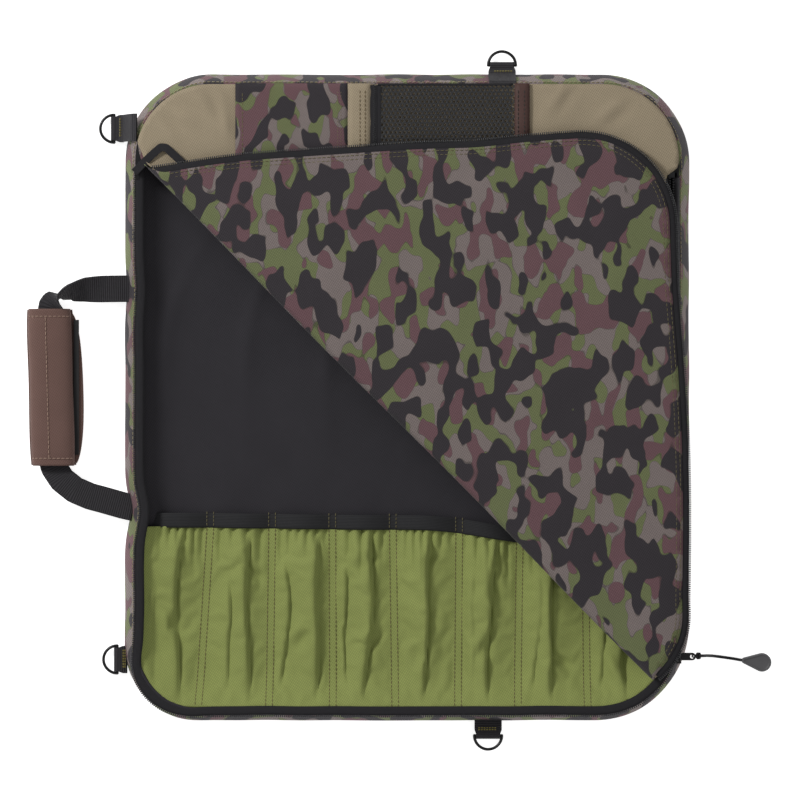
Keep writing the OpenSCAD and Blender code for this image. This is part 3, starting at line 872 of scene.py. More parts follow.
def folds():
    """Folds in the gathered cloth: a tall one and a low one in each pocket, down from the band."""
    chance = np.random.default_rng(FOLD_SEED)
    for left, right in pocket_edges():
        width = right - left
        tall = left + width * chance.uniform(0.52, 0.74)
        low = left + width * chance.uniform(0.18, 0.34)
        kinds = ((tall, 7.4, 0.30, 0.0, 1.0), (low, 3.6, 0.20, 0.3, 0.92))
        for place, height, soft, start, end in kinds:
            lean = width * chance.uniform(-0.18, 0.10)
            bow = width * chance.uniform(-0.08, 0.10)
            size = height * chance.uniform(0.85, 1.15)
            yield place, bow, lean, size, width * soft, start * chance.uniform(0.4, 1.3), end


def dents():
    """Two dents in each pocket: place, size, depth and lean."""
    chance = np.random.default_rng(DENT_SEED)
    for left, right in pocket_edges():
        for low, high, deep in ((-150, -108, 2.6), (-200, -158, 3.8)):
            x = left + (right - left) * chance.uniform(0.3, 0.75)
            y = chance.uniform(low, high)
            size = chance.uniform(3.4, 4.8)
            yield (x, y), size, deep * chance.uniform(0.6, 1.15), chance.uniform(-1.1, 1.0)


def fold_height(x, depth):
    """The standing folds: soft on the left, and a sharp drop on the right."""
    total = np.zeros_like(x)
    for place, bow, lean, height, soft, start, end in folds():
        centre = place + lean * depth + bow * np.sin(math.pi * depth) + 0.8 * np.sin(9 * depth + place)
        off = x - centre
        shape = np.where(off < 0, bell(off / (0.75 * soft)), bell(off / 0.9))
        shape = 0.78 * shape - 0.44 * bell((off - 1.7) / 1.0)
        reach = smooth((depth - start) / 0.12) * smooth((end - depth) / 0.12)
        total = total + height * shape * reach * (1 - 0.12 * np.abs(total))
    return total


def gather_height(x, depth):
    """Small pleats under the band, which die out downwards at different lengths."""
    phase = 2 * math.pi * x / 7.4 + 2.6 * np.sin(x / 13) + 1.7 * np.sin(x / 31)
    pleat = 1 - np.abs(np.sin(phase / 2)) ** 0.8
    reach = 0.17 + 0.09 * np.sin(x / 9.0 + 1.3 * np.sin(x / 21))
    return -5.2 * pleat * bell(depth / reach)


def pocket_surface(x, y):
    """The pocket cloth's height: full between its seams, folded, dented and raised at the edge."""
    top = band_top(x) - BAND_H
    depth = np.clip((top - y) / (top - BOTTOM_Y), 0, 1)
    full = puff(x, depth)
    loose = smooth(full * 3.2)
    taper = 1 - 0.5 * smooth((depth - 0.75) / 0.25)
    h = 1.6 + 5.0 * full * taper
    h = h + loose * taper * fold_height(x, depth) + loose * gather_height(x, depth)
    h = h + loose * 0.6 * wobble(x, y * 0.4, 26, 31) + loose * 0.5 * wobble(x, y, 17, 32)
    for place, size, deep, lean in dents():
        across, along = beside(x, y, place, lean)
        h = h - loose * deep * np.exp(-((across / size) ** 2) - ((along / (size * 2.2)) ** 2))
        ridge = np.exp(-(((across + 1.9 * size) / (0.8 * size)) ** 2) - ((along / (size * 2.0)) ** 2))
        h = h + loose * 0.45 * deep * ridge
    seam = 13.5 * bell(np.maximum(edge_inset(x, y) - POCKET_INSET, 0) / 15)
    return lining_top + 1.2 + np.maximum(h, 0.0) * (1 - seam / 19) + seam


POCKET_INSET = 9.9
LOWER_CORNERS = ((-1, CORNERS["bottom_left"]), (1, CORNERS["bottom_right"]))


def edge_inset(x, y):
    """How far points of the lower half lie inside the bag's true outline."""
    inset = np.minimum(HALF_W - np.abs(x), HALF_H + y)
    for sign, r in LOWER_CORNERS:
        dx, dy = x - sign * (HALF_W - r), y - (r - HALF_H)
        inset = np.where((dx * sign > 0) & (dy < 0), r - np.hypot(dx, dy), inset)
    return inset


def pocket_grid(step=1.5):
    """The panel's points, in rows from the band down to the bottom seam."""
    xs = np.arange(POCKET_INSET + 0.1 - HALF_W, POCKET_RIGHT + STRIP_HALF, step)
    rows = []
    for t in np.linspace(0, 1, int(134 / step)):
        top = band_top(xs) - BAND_H + 1.0
        y = top + (BOTTOM_Y - top) * t
        x, y = keep_inside(xs.copy(), y, POCKET_INSET)
        z = pocket_surface(x, y)
        pinch = 3.0 * bell((y - PINCH_Y) / PINCH_REACH) * np.exp(-((x - xs[0]) / 12))
        rows.append(np.stack([x + pinch, y, z], axis=1))
    return rows


def keep_inside(x, y, inset):
    """Points pulled in to stay inside the bag's rounded outline."""
    for sign, r in LOWER_CORNERS:
        cx, cy = sign * (HALF_W - r), r - HALF_H
        dx, dy = x - cx, y - cy
        beyond = (dx * sign > 0) & (dy < 0)
        d = np.hypot(dx, dy)
        scale = np.where(beyond & (d > r - inset), (r - inset) / np.maximum(d, 1e-6), 1)
        x, y = cx + dx * scale, cy + dy * scale
    return x, y


def pocket_seams():
    """Each divider's two stitch lines, seen from above."""
    lines = []
    for i in range(len(DIVIDERS)):
        for side in (-1, 1):
            depth = np.linspace(0.0, 1.0, 60)
            x = np.array([divider_x(i, d) for d in depth]) + side * STRIP_HALF * 0.92
            top = band_top(x) - BAND_H
            y = top + (BOTTOM_Y - top) * depth
            lines.append((x, y))
    return lines


def sewn_points(rows):
    """Numbers of the panel's points that are sewn down: its edges and its seams."""
    grid = np.array(rows)
    sewn = np.zeros(grid.shape[:2], bool)
    sewn[:2] = True
    sewn[-1:] = True
    sewn[:, :1] = True
    sewn[:, -2:] = True
    top = band_top(grid[:, :, 0]) - BAND_H
    depth = np.clip((top - grid[:, :, 1]) / (top - BOTTOM_Y), 0, 1)
    for i in range(len(DIVIDERS)):
        sewn |= np.abs(grid[:, :, 0] - divider_x(i, depth)) < STRIP_HALF + 0.5
    return [int(k) for k in np.nonzero(sewn.ravel())[0]]


def relaxed(points, pinned, obj):
    """Points moved halfway to the mean of their neighbours, which takes out the finest creases."""
    ends = np.array([e.vertices for e in obj.data.edges])
    count = np.bincount(ends.ravel(), minlength=len(points))[:, None]
    total = np.zeros_like(points)
    np.add.at(total, ends[:, 0], points[ends[:, 1]])
    np.add.at(total, ends[:, 1], points[ends[:, 0]])
    moved = points + 0.5 * (total / count - points)
    moved[pinned] = points[pinned]
    return moved


CLOTH = {
    "quality": 5, "mass": 0.002, "tension_stiffness": 8, "compression_stiffness": 8, "shear_stiffness": 3,
    "bending_stiffness": 0.9, "tension_damping": 2, "air_damping": 2, "use_pressure": True,
    "uniform_pressure_force": 4,
}
CLOTH_FRAMES = 10
CLOTH_SURPLUS = 0.014
CLOTH_GRAVITY = 0.2
FARTHEST_MOVE = 0.009


def let_cloth_settle(obj, pinned):
    """Cloth cut larger than the place it is sewn into, so that it buckles into folds of its own."""
    before = np.array([v.co for v in obj.data.vertices])
    group = obj.vertex_groups.new(name="sewn")
    group.add(pinned, 1.0, "REPLACE")
    mod = obj.modifiers.new("cloth", "CLOTH")
    cloth = mod.settings
    cloth.vertex_group_mass = "sewn"
    for setting, value in CLOTH.items():
        setattr(cloth, setting, value)
    cloth.shrink_min = -CLOTH_SURPLUS
    cloth.effector_weights.gravity = CLOTH_GRAVITY
    mod.collision_settings.use_collision = False
    mod.point_cache.frame_end = CLOTH_FRAMES
    for frame_number in range(1, CLOTH_FRAMES + 1):
        bpy.context.scene.frame_set(frame_number)
    apply_modifiers(obj)
    bpy.context.scene.frame_set(1)
    obj.vertex_groups.clear()
    after = np.array([v.co for v in obj.data.vertices])
    moved = after - before
    size = np.linalg.norm(moved, axis=1, keepdims=True)
    after = before + moved * np.minimum(1, FARTHEST_MOVE / np.maximum(size, 1e-9))
    after[:, 2] = np.maximum(after[:, 2], np.minimum(before[:, 2], (lining_top + 1.6) * MM))
    after = relaxed(after, pinned, obj)
    obj.data.vertices.foreach_set("co", after.ravel())
    obj.data.update()


def build_pockets():
    shape = Shape()
    rows = pocket_grid()
    shape.grid(rows)
    panel = shape.make("stick_pocket_cloth", M["green"])
    let_cloth_settle(panel, sewn_points(rows))
    thicken(panel, 0.6)
    settle(panel, "bag", "green_fabric", "stick_pocket_panel")
    sew = Shape()
    for x, y in pocket_seams():
        z = pocket_surface(x, y) + 0.75
        stitches(sew, np.stack([x, y, z], axis=1), 2.3, 0.9, 0.24)
    settle(sew.make("pocket_stitching", M["thread_brown"]), "bag", "green_fabric")


def mouth_height(x):
    """How far the band stands off the lining across the mouths."""
    return 1.5 + 5.5 * puff(np.asarray(x, float), np.zeros(len(x)), 0.9)


# The band's section: distance below its upper edge, and height.
BAND_PROFILE = [
    (1.3, -0.9), (0.2, -0.3), (0.0, 0.7), (0.6, 1.25), (2.2, 1.5), (4.5, 1.35),
    (6.8, 1.45), (9.0, 1.4), (10.4, 1.1), (11.0, 0.3), (10.4, -0.6),
]


def build_band():
    """The elastic band, stretched over the pockets' mouths and sewn down at each divider."""
    xs = np.arange(POCKET_LEFT - 2.5, POCKET_RIGHT + 2.5, 1.6)
    shape = Shape()
    rows, uvs = [], []
    top = band_top(xs)
    mouth = mouth_height(xs)
    for down, z in BAND_PROFILE:
        ripple = 0.12 * np.sin(xs * 1.9 + down)
        rows.append(np.stack([xs, top - down, lining_top + 1.5 + mouth + z + ripple], axis=1))
        uvs.append([(down, x) for x in xs])
    shape.grid(rows, closed_v=True, uvs=uvs)
    band = shape.make("mouth_elastic", M["elastic"])
    settle(band, "bag", "black_elastic", "pocket_elastic_band")
    sew = Shape()
    for i in range(len(DIVIDERS)):
        for side in (-1, 1):
            x = np.full(12, DIVIDERS[i] + side * STRIP_HALF * 0.92)
            y = np.linspace(band_top(x[0]) + 1.0, band_top(x[0]) - BAND_H - 0.5, 12)
            base = mouth_height(x[:1])[0]
            z = np.full(12, lining_top + 1.5 + base + 1.75)
            stitches(sew, np.stack([x, y, z], axis=1), 2.0, 0.8, 0.26)
    settle(sew.make("band_stitching", M["thread_olive"]), "bag", "black_elastic")


build_pockets()
build_band()


# ---- Cover: one padded cloth that rolls over at the fold ----

FOLD_ENDS = (-248.3, 274.9)
FOLD_DRIFT = (6.0, -1.4)
LINING_ROLL = (flap_top_z - cover_low_z) / 2
OUTER_ROLL = (flap_low_z - cover_top_z) / 2


def to_fold(x, y):
    """Place along the fold line, and distance beyond it towards the upper right."""
    dx, dy = x - FOLD_POINT[0], y - FOLD_POINT[1]
    return dx * FOLD_DIR[0] + dy * FOLD_DIR[1], dx * FOLD_NORMAL[0] + dy * FOLD_NORMAL[1]


def fold_drift(t):
    """The soft fold wanders a little from its straight line."""
    share = (t - FOLD_ENDS[0]) / (FOLD_ENDS[1] - FOLD_ENDS[0])
    return FOLD_DRIFT[0] + (FOLD_DRIFT[1] - FOLD_DRIFT[0]) * share + 0.6 * np.sin(t / 47)


def from_fold(t, n):
    x = FOLD_POINT[0] + t * FOLD_DIR[0] + n * FOLD_NORMAL[0]
    y = FOLD_POINT[1] + t * FOLD_DIR[1] + n * FOLD_NORMAL[1]
    return x, y


FLAP_CORNER, FLAP_CORNER_R = (128.6, 126.1), 70.0
FLAP_TIP, FLAP_TIP_R = (146.0, -160.0), 62.0
FLAP_TILT, SIDE_TILT = 3.8, 2.2


def flap_edge(inset, step=3.0):
    """The flap's free edge at rest, from the slider's end round to the fold's upper end."""
    points = arc(FLAP_TIP, FLAP_TIP_R - inset, -50, SIDE_TILT, step)
    points += arc(FLAP_CORNER, FLAP_CORNER_R - inset, SIDE_TILT, 90 + FLAP_TILT, step)
    last = points[-1]
    points.append(last - 318 * unit(FLAP_TILT))
    pts = resample(points, step)
    x, y = pts[:, 0], pts[:, 1]
    x = x + 3.6 * np.sin(math.pi * np.clip((y + 150) / 230, 0, 1)) * (x > 150)
    y = y - 6.0 * smooth((-95 - x) / 110) ** 1.5
    y = y - 1.6 * bell((x - 50) / 28) * (y > 100)
    return np.stack([x, y], axis=1)


def trim_at_fold(points, distance):
    """Keeps the stretch of an open line that lies beyond the fold line."""
    t, n = to_fold(points[:, 0], points[:, 1])
    keep = n - fold_drift(t) > distance
    inside = np.nonzero(keep)[0]
    return points[inside[0]: inside[-1] + 1]


def lying_edge(inset):
    """The lying half's edge, from the fold's lower right end up the right and round the top."""
    side = 17.6 + inset
    right = CORNERS["bottom_right"]
    top = CORNERS["top"]
    points = arc((HALF_W - right, right - HALF_H), right - 9 - inset, -46, -12)
    points += arc((HALF_W - right, right - HALF_H), right - side, -10, 0)
    points += [np.array([HALF_W - side, ZIP_END_Y - 3])]
    points += [np.array([HALF_W - WALL_LEAN - inset - 1, ZIP_END_Y + 3])]
    r = top - WALL_LEAN - inset
    points += arc((HALF_W - top, HALF_H - top), r, 0, 90)
    points += arc((top - HALF_W, HALF_H - top), r, 90, 180)
    points += [np.array([-HALF_W + WALL_LEAN + inset, ZIP_END_Y + 4])]
    return resample(points, 3.0)


def unrolled_loop(flap_inset, lying_inset, roll):
    """The whole cover's outline laid flat: place along the fold, and distance across it."""
    lying = trim_at_fold(lying_edge(lying_inset), 1.0)
    flap = trim_at_fold(flap_edge(flap_inset), 1.0)
    t1, n1 = to_fold(lying[:, 0], lying[:, 1])
    t2, n2 = to_fold(flap[:, 0], flap[:, 1])
    across1 = n1 - fold_drift(t1)
    across2 = -(n2 - fold_drift(t2)) - math.pi * roll
    upper = np.stack([t1, across1], axis=1)
    lower = np.stack([t2, across2], axis=1)[::-1]
    return np.vstack([upper, lower])


def rolled(t, s, roll, bulge, dip, low_z, high_z, low_shape, high_shape):
    """Puts the flat cover in place: lying, round the roll, and folded back over itself."""
    turn = np.clip(-s / roll, 0, math.pi)
    n = fold_drift(t) + np.maximum(s, 0) - roll * bulge * np.sin(turn)
    n = n + np.maximum(-s - math.pi * roll, 0)
    middle = (low_z + high_z) / 2
    z = middle - roll * np.cos(turn)
    x, y = from_fold(t, n)
    near = smooth(np.maximum(s, -s - math.pi * roll) / 14)
    z = z - dip * (1 - near) + near * np.where(s > 0, low_shape(x, y), high_shape(x, y))
    return x, y, z


# Short wrinkles where the cover is gathered into its seam: place, lean and width.
WRINKLES = [
    ((-138, 221), 0.9, 3.2), ((-148, 214), 0.6, 3.6), ((-134, 203), 0.2, 3.0), ((-163, 206), 1.1, 4.0),
    ((112, 223), -0.6, 3.4), ((150, 212), -0.9, 3.8), ((-176, 196), 0.8, 3.6),
]


def lying_shape(x, y):
    """Soft puckers in the lying half, kept below its pockets."""
    pucker = 0.5 * wobble(x, y, 60, 21) - 0.5
    edge = bell((x + 128) / 5) + bell((x - 96) / 5)
    wrinkle = np.zeros_like(x)
    for place, lean, size in WRINKLES:
        across, along = beside(x, y, place, lean)
        wrinkle += (bell(across / size) - 0.6 * bell((across - 2.2 * size) / size)) * bell(along / 12)
    return pucker - 0.6 - 0.5 * edge + 1.3 * wrinkle


def flap_under(x, y):
    """The small waves of the khaki side under the folded corner."""
    return 0.35 + 0.3 * wobble(x, y, 70, 22)


def edge_distance(x, y, line):
    """Distance from each point to a line of points."""
    best = np.full(np.shape(x), 1e9)
    for p in line:
        best = np.minimum(best, np.hypot(x - p[0], y - p[1]))
    return best


CAMO_EDGE = flap_edge(TAPE_W, 2.0)


def flap_over(x, y):
    """The folded corner's upper side: slightly crowned, with long soft waves."""
    d = edge_distance(x, y, CAMO_EDGE)
    seam = bell((d - 4.2) / 1.8)
    crown = 0.9 * smooth(d / 40)
    waves = 0.55 * wobble(x, y, 95, 23) + 0.3 * wobble(x, y, 42, 24)
    return crown + waves * smooth(d / 14) - 0.45 * seam - 0.5 * np.exp(-d / 1.2)


def roll_rows(roll, count):
    """Rows of points that follow the bend, so that it stays round."""
    return [-k * math.pi * roll / count for k in range(count + 1)]


def flat(x, y):
    return 0 * x


def lining_place(t, s):
    return rolled(t, s, LINING_ROLL, 0.75, 0.0, cover_low_z, flap_top_z, flat, flap_over)


def outer_place(t, s):
    return rolled(t, s, OUTER_ROLL, 1.4, 0.3, cover_top_z, flap_low_z, lying_shape, flap_under)


def build_cover():
    """The cover's two cloths, each one piece that rolls over at the fold."""
    loop = unrolled_loop(TAPE_W - 0.4, 0.4, LINING_ROLL)
    rows = roll_rows(LINING_ROLL, 8)
    lining = filled("cover_camo_lining", loop, 4.0, lining_place, M["camo_lining"], rows)
    loop = unrolled_loop(TAPE_W - 0.4, 0.0, OUTER_ROLL)
    rows = roll_rows(OUTER_ROLL, 6)
    outer = filled("cover_khaki", loop, 3.0, outer_place, M["khaki"], rows)
    bends = ((lining, LINING_ROLL * 0.8, "camo_lining"), (outer, OUTER_ROLL * 0.9, "khaki_fabric"))
    for obj, reach, slot in bends:
        thicken(obj, 0.5, 0.0)
        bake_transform(obj)
    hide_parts("cover_lining", "flap_lining")
    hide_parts("cover_outer", "flap_outer", "cover_foam", "flap_foam")
    return lining, outer


camo_sheet, khaki_sheet = build_cover()


# ---- Zips ----

TOOTH_PITCH, TOOTH_REACH, TOOTH_W, TOOTH_H = 1.55, 1.9, 0.95, 1.1


def teeth_row(shape, path):
    """Interlocking teeth along an edge, each a small rounded brick."""
    pts = resample(path, TOOTH_PITCH)
    run = tangents(pts)
    side = np.cross(run, [0, 0, 1])
    side /= np.linalg.norm(side, axis=1, keepdims=True)
    for p, r, s in zip(pts, run, side):
        place = p + s * TOOTH_REACH * 0.3
        shape.block(place, r * TOOTH_W / 2, s * TOOTH_REACH / 2, (0, 0, TOOTH_H / 2))


def build_open_zip(side, body, lines, profile, count, pace, ripple, teeth_z):
    """One side of the open zip: its tape between two lines, and its teeth along the outer one."""
    outer, inner = (resample(line, 1.0) for line in lines)
    a, b = (line[np.linspace(0, len(line) - 1, count).astype(int)] for line in (outer, inner))
    tape = Shape()
    rows, uvs = [], []
    for share, z in profile:
        height = np.full(count, z) + ripple * np.sin(np.arange(count) * 0.31)
        rows.append(np.column_stack([a + (b - a) * share, height]))
        uvs.append([(share * TAPE_W, i * pace) for i in range(count)])
    tape.grid(rows, closed_v=True, uvs=uvs)
    settle(tape.make(side + "_tape", M["tape"]), body, "zip_tape", side + "_zip_tape")
    teeth = Shape()
    teeth_row(teeth, np.column_stack([outer, np.full(len(outer), teeth_z)]))
    settle(teeth.make(side + "_teeth", M["teeth"]), body, "zip_teeth", side + "_zip_teeth")


def build_flap_zip():
    edge = trim_at_fold(flap_edge(0.9), -3.0)
    inner = trim_at_fold(flap_edge(TAPE_W + 0.8), -3.0)
    z_out, z_in = flap_top_z - 1.5, flap_top_z - 0.7
    profile = [(0.0, z_out - 0.3), (0.0, z_out + 0.3), (0.35, z_out + 0.5), (0.7, z_in + 0.1)]
    profile += [(1.0, z_in), (1.0, z_in - 0.6), (0.5, z_out)]
    build_open_zip("flap", "flap", (edge, inner), profile, 300, 2.4, 0.15, z_out + 0.1)


def base_tape_line(inset_of):
    """The open zip's line on the bag: down the left, along the bottom to the slider."""
    x, y = EDGE[:, 0], EDGE[:, 1]
    open_part = (y < ZIP_END_Y) & ((x < 100) | (y < -189))
    order = np.nonzero(open_part)[0]
    start = np.nonzero(np.diff(order) > 1)[0]
    if len(start):
        order = np.r_[order[start[0] + 1:], order[: start[0] + 1]]
    p, n = EDGE[order], INWARD[order]
    inset = inset_of(p[:, 0], p[:, 1]) + EDGE_SOFT[order]
    return p + n * inset[:, None]


def tape_outer_inset(x, y):
    """The open tape flops out over the border at the bottom left corner."""
    bottom = smooth((-y - 175) / 40)
    corner = np.exp(-(((x + 192) / 34) ** 2) - (((y + 222) / 34) ** 2))
    return 8.8 - 3.6 * bottom - 2.7 * corner


def build_base_zip():
    outer = base_tape_line(tape_outer_inset)
    inner = base_tape_line(lambda x, y: np.maximum(tape_outer_inset(x, y) + 6.6, 10.4))
    z = wall_top + 0.45
    section = [(0.0, -0.35), (0.0, 0.3), (0.3, 0.5), (0.7, 0.35), (1.0, -0.3), (1.0, -0.8), (0.5, -0.25)]
    profile = [(share, z + dz) for share, dz in section]
    build_open_zip("base", "bag", (outer, inner), profile, 420, 2.2, 0.0, z + 0.15)


def build_side_zip():
    """The closed zip up the right side: two tapes and a meshed chain."""
    low, high = node_mm("side_zip_chain")
    middle, z = (low[0] + high[0]) / 2, (low[2] + high[2]) / 2
    ys = np.arange(low[1], high[1], 4.0)
    tape = Shape()
    left = (middle - 8.2, middle - 2.2, z - 0.1, z - 0.05)
    right = (middle + 2.2, HALF_W - WALL_LEAN + 0.8, z - 0.1, wall_top + 0.9)
    for x0, x1, z0, z1 in (left, right):
        rows, uvs = [], []
        xm, zm = (x0 + x1) / 2, 0.9 * z0 + 0.1 * z1
        section = [(x0, z0 + 0.2), (xm, zm + 0.3), (x1, z1 + 0.2)]
        section += [(x1, z1 - 0.25), (xm, zm - 0.2), (x0, z0 - 0.25)]
        for x, zz in section:
            rows.append(np.column_stack([np.full(len(ys), x), ys, np.full(len(ys), zz)]))
            uvs.append([(x, y) for y in ys])
        tape.grid(rows, closed_v=True, uvs=uvs)
    settle(tape.make("side_tapes", M["tape"]), "bag", "zip_tape", "cover_zip_tape")
    row = Shape()
    for k, y in enumerate(np.arange(low[1], high[1], 0.95)):
        side = 1 if k % 2 else -1
        row.block((middle + side * 1.3, y, z), (0, 0.55, 0), (0.85, 0, 0), (0, 0, 0.5))
    settle(row.make("side_chain", M["teeth"]), "bag", "zip_teeth", "side_zip_chain")


def build_end_loop():
    """The tape's end, folded into a little triangle where the open zip starts."""
    z = cover_top_z + 1.6
    path = [(-201, 166, z - 3), (-195, 172, z - 1), (-187, 179.5, z), (-181.5, 184.2, z + 0.6)]
    path += [(-177.5, 184.0, z + 0.9), (-171, 178.0, z + 1.2), (-165, 172.2, z + 2.2)]
    pts = resample(path, 1.5)
    run = tangents(pts)
    side = np.cross(run, [0, 0, 1])
    shape = Shape()
    ribbon(shape, pts, side, 2.9, 0.8)
    settle(shape.make("zip_end_tape", M["tape"]), "bag", "zip_tape", "zip_end_loop")


build_flap_zip()
build_base_zip()
build_side_zip()
build_end_loop()


# ---- Stitching on the flap ----

def flap_line(inset, lift):
    """A line on the folded corner's upper side, inside its free edge."""
    line = trim_at_fold(flap_edge(inset), 3.0)
    z = flap_top_z + flap_over(line[:, 0], line[:, 1]) + lift
    return np.column_stack([line, z])


def build_flap_stitching():
    shape = Shape()
    stitches(shape, flap_line(TAPE_W + 4.2, 0.34), 2.5, 1.0, 0.22)
    stitches(shape, flap_line(TAPE_W + 1.2, 0.34), 2.5, 1.0, 0.24)
    settle(shape.make("flap_stitching", M["thread_olive"]), "flap", "camo_lining")


build_flap_stitching()


# ---- Pockets on the cover ----

SHEET_STEP = 3.0


def pocket_sheet(name, node, material, lift, fullness, seed):
    """A pocket panel laid on the cover, following its CAD place, slightly proud in the middle."""
    low, high = node_mm(node)
    xs = np.linspace(low[0], high[0], max(4, int((high[0] - low[0]) / SHEET_STEP)))
    ys = np.linspace(low[1], high[1] + 1.4, int((high[1] - low[1]) / SHEET_STEP))
    rows, uvs = [], []
    for y in ys:
        share = (xs - low[0]) / (high[0] - low[0])
        near_seam = smooth((high[1] + 1.4 - y) / 6)
        z = low[2] + lift + near_seam * fullness * np.sin(math.pi * share) ** 0.5
        z = z + near_seam * 0.3 * fullness * wobble(xs, np.full_like(xs, y), 30, seed)
        rows.append(np.column_stack([xs, np.full_like(xs, y), z]))
        uvs.append([(x, y) for x in xs])
    shape = Shape()
    shape.grid(rows, uvs=uvs)
    obj = shape.make(name, material)
    thicken(obj, 0.55, 0.0)
    return obj


def build_cover_pocket(cloth, node, look, slot, lift, fullness, seed, sewing):
    """A pocket panel and its rows of stitches, which run up and down it."""
    settle(pocket_sheet(cloth, node, M[look], lift, fullness, seed), "bag", slot, node)
    low, high = node_mm(node)
    name, thread, margin, height, rows = sewing
    sew = Shape()
    for x, length, gap in rows:
        x = low[0] + x if x > 0 else high[0] + x
        ends = [(x, low[1] + margin, low[2] + height), (x, high[1] - margin, low[2] + height)]
        stitches(sew, ends, length, gap, 0.25)
    settle(sew.make(name, M[thread]), "bag", slot)


# Stitching: name, thread, end margin, height, and rows of place from the left or right edge, stitch and gap.
PATCH_SEWING = (
    "patch_stitching", "thread_olive", 4, 1.1, ((5.2, 2.4, 0.9), (-5.0, 1.0, 1.4), (-7.4, 1.0, 1.4)),
)
PLACKET_SEWING = ("placket_stitching", "thread_brown", 3, 1.65, ((9.0, 2.3, 0.9), (12.8, 2.3, 0.9)))
TRIM_SEWING = ("trim_stitching", "thread_dark", 3, 1.6, ((2.6, 2.3, 0.9), (7.2, 2.3, 0.9)))


def build_mesh_pocket():
    """Knitted mesh with real six-sided holes."""
    low, high = node_mm("mesh_pocket")
    pitch = 3.3
    row_step = pitch * 0.86
    shape = Shape()
    top_y = high[1] + 1.0
    rows = int((top_y - low[1]) / row_step)
    columns = int((high[0] - low[0]) / pitch)
    for i in range(rows):
        for j in range(columns):
            cx = low[0] + pitch * (j + 0.5 + (0.5 if i % 2 else 0))
            cy = low[1] + row_step * (i + 0.5)
            if cx + pitch / 2 > high[0] + pitch * 0.4:
                continue
            z = low[2] + 0.9 + 0.4 * math.sin(cx / 13) * math.sin(cy / 17)
            hexagon_ring(shape, cx, cy, z, pitch)
    settle(shape.make("mesh_net", M["mesh"]), "bag", "mesh", "mesh_pocket")
    binding = Shape()
    z = low[2] + 1.2
    top = [(x, high[1] + 0.5, z) for x in np.arange(low[0], high[0] + 1, 3)]
    ribbon(binding, top, [(0, 1, 0)] * len(top), 0.9, 0.6)
    left = [(low[0] + 1.1, y, z) for y in np.arange(low[1], high[1] + 1.2 + 1, 3)]
    ribbon(binding, left, [(1, 0, 0)] * len(left), 1.1, 0.6)
    settle(binding.make("mesh_binding", M["tape"]), "bag", "mesh")


def hexagon_ring(shape, cx, cy, z, pitch):
    """One cell of the net: a flat ring between its outer hexagon and its hole."""
    outer, hole = pitch / math.sqrt(3), pitch * 0.31
    pts = []
    for r, zz in ((outer, z - 0.15), (hole, z - 0.15), (hole, z + 0.2), (outer, z + 0.1)):
        pts += [(*(np.array([cx, cy]) + r * unit(60 * k + 30)), zz) for k in range(6)]
    shape.add(pts, ring_faces(6, 6) + ring_faces(12, 6))


def build_pocket_zip():
    low, high = node_mm("mesh_zip_tape")
    ys = np.arange(low[1], high[1] + 1.4, 3.0)
    middle = (low[0] + high[0]) / 2
    shape = Shape()
    pts = [(middle, y, low[2] + 0.75) for y in ys]
    ribbon(shape, pts, [(1, 0, 0)] * len(pts), (high[0] - low[0]) / 2 + 0.6, 0.5)
    settle(shape.make("pocket_zip_tape", M["tape"]), "bag", "zip_tape", "mesh_zip_tape")
    row = Shape()
    for k, y in enumerate(np.arange(low[1] + 3, high[1] + 1, 0.8)):
        side = 1 if k % 2 else -1
        row.block((middle + side * 0.55, y, low[2] + 1.1), (0, 0.45, 0), (0.6, 0, 0), (0, 0, 0.35))
    settle(row.make("pocket_zip_teeth", M["teeth"]), "bag", "zip_teeth", "mesh_zip_chain")


build_cover_pocket(
    "patch_pocket_cloth", "patch_pocket", "camo_patch", "camo_fabric", 0.5, 0.9, 41, PATCH_SEWING,
)
build_cover_pocket(
    "placket_cloth", "placket_strip", "khaki", "khaki_fabric", 0.6, 0.7, 42, PLACKET_SEWING,
)
build_mesh_pocket()
build_pocket_zip()
build_cover_pocket("brown_trim", "pocket_trim", "trim", "brown_trim", 0.6, 0.7, 43, TRIM_SEWING)


# ---- Webbing tabs on the rings ----

def ring_frame(joint_name):
    """The ring bar's middle, its outward direction and its bar direction."""
    joint = joints[joint_name]
    centre = np.array(joint["pos_m"]) / MM
    bar = np.array(joint["axis"])
    outward = np.cross(bar, [0, 0, -1.0])
    return centre, outward, bar


def up(z):
    return np.array([0, 0, z])


TAB_LOOP_R = 2.0
BARTACK_HALF = 7.5


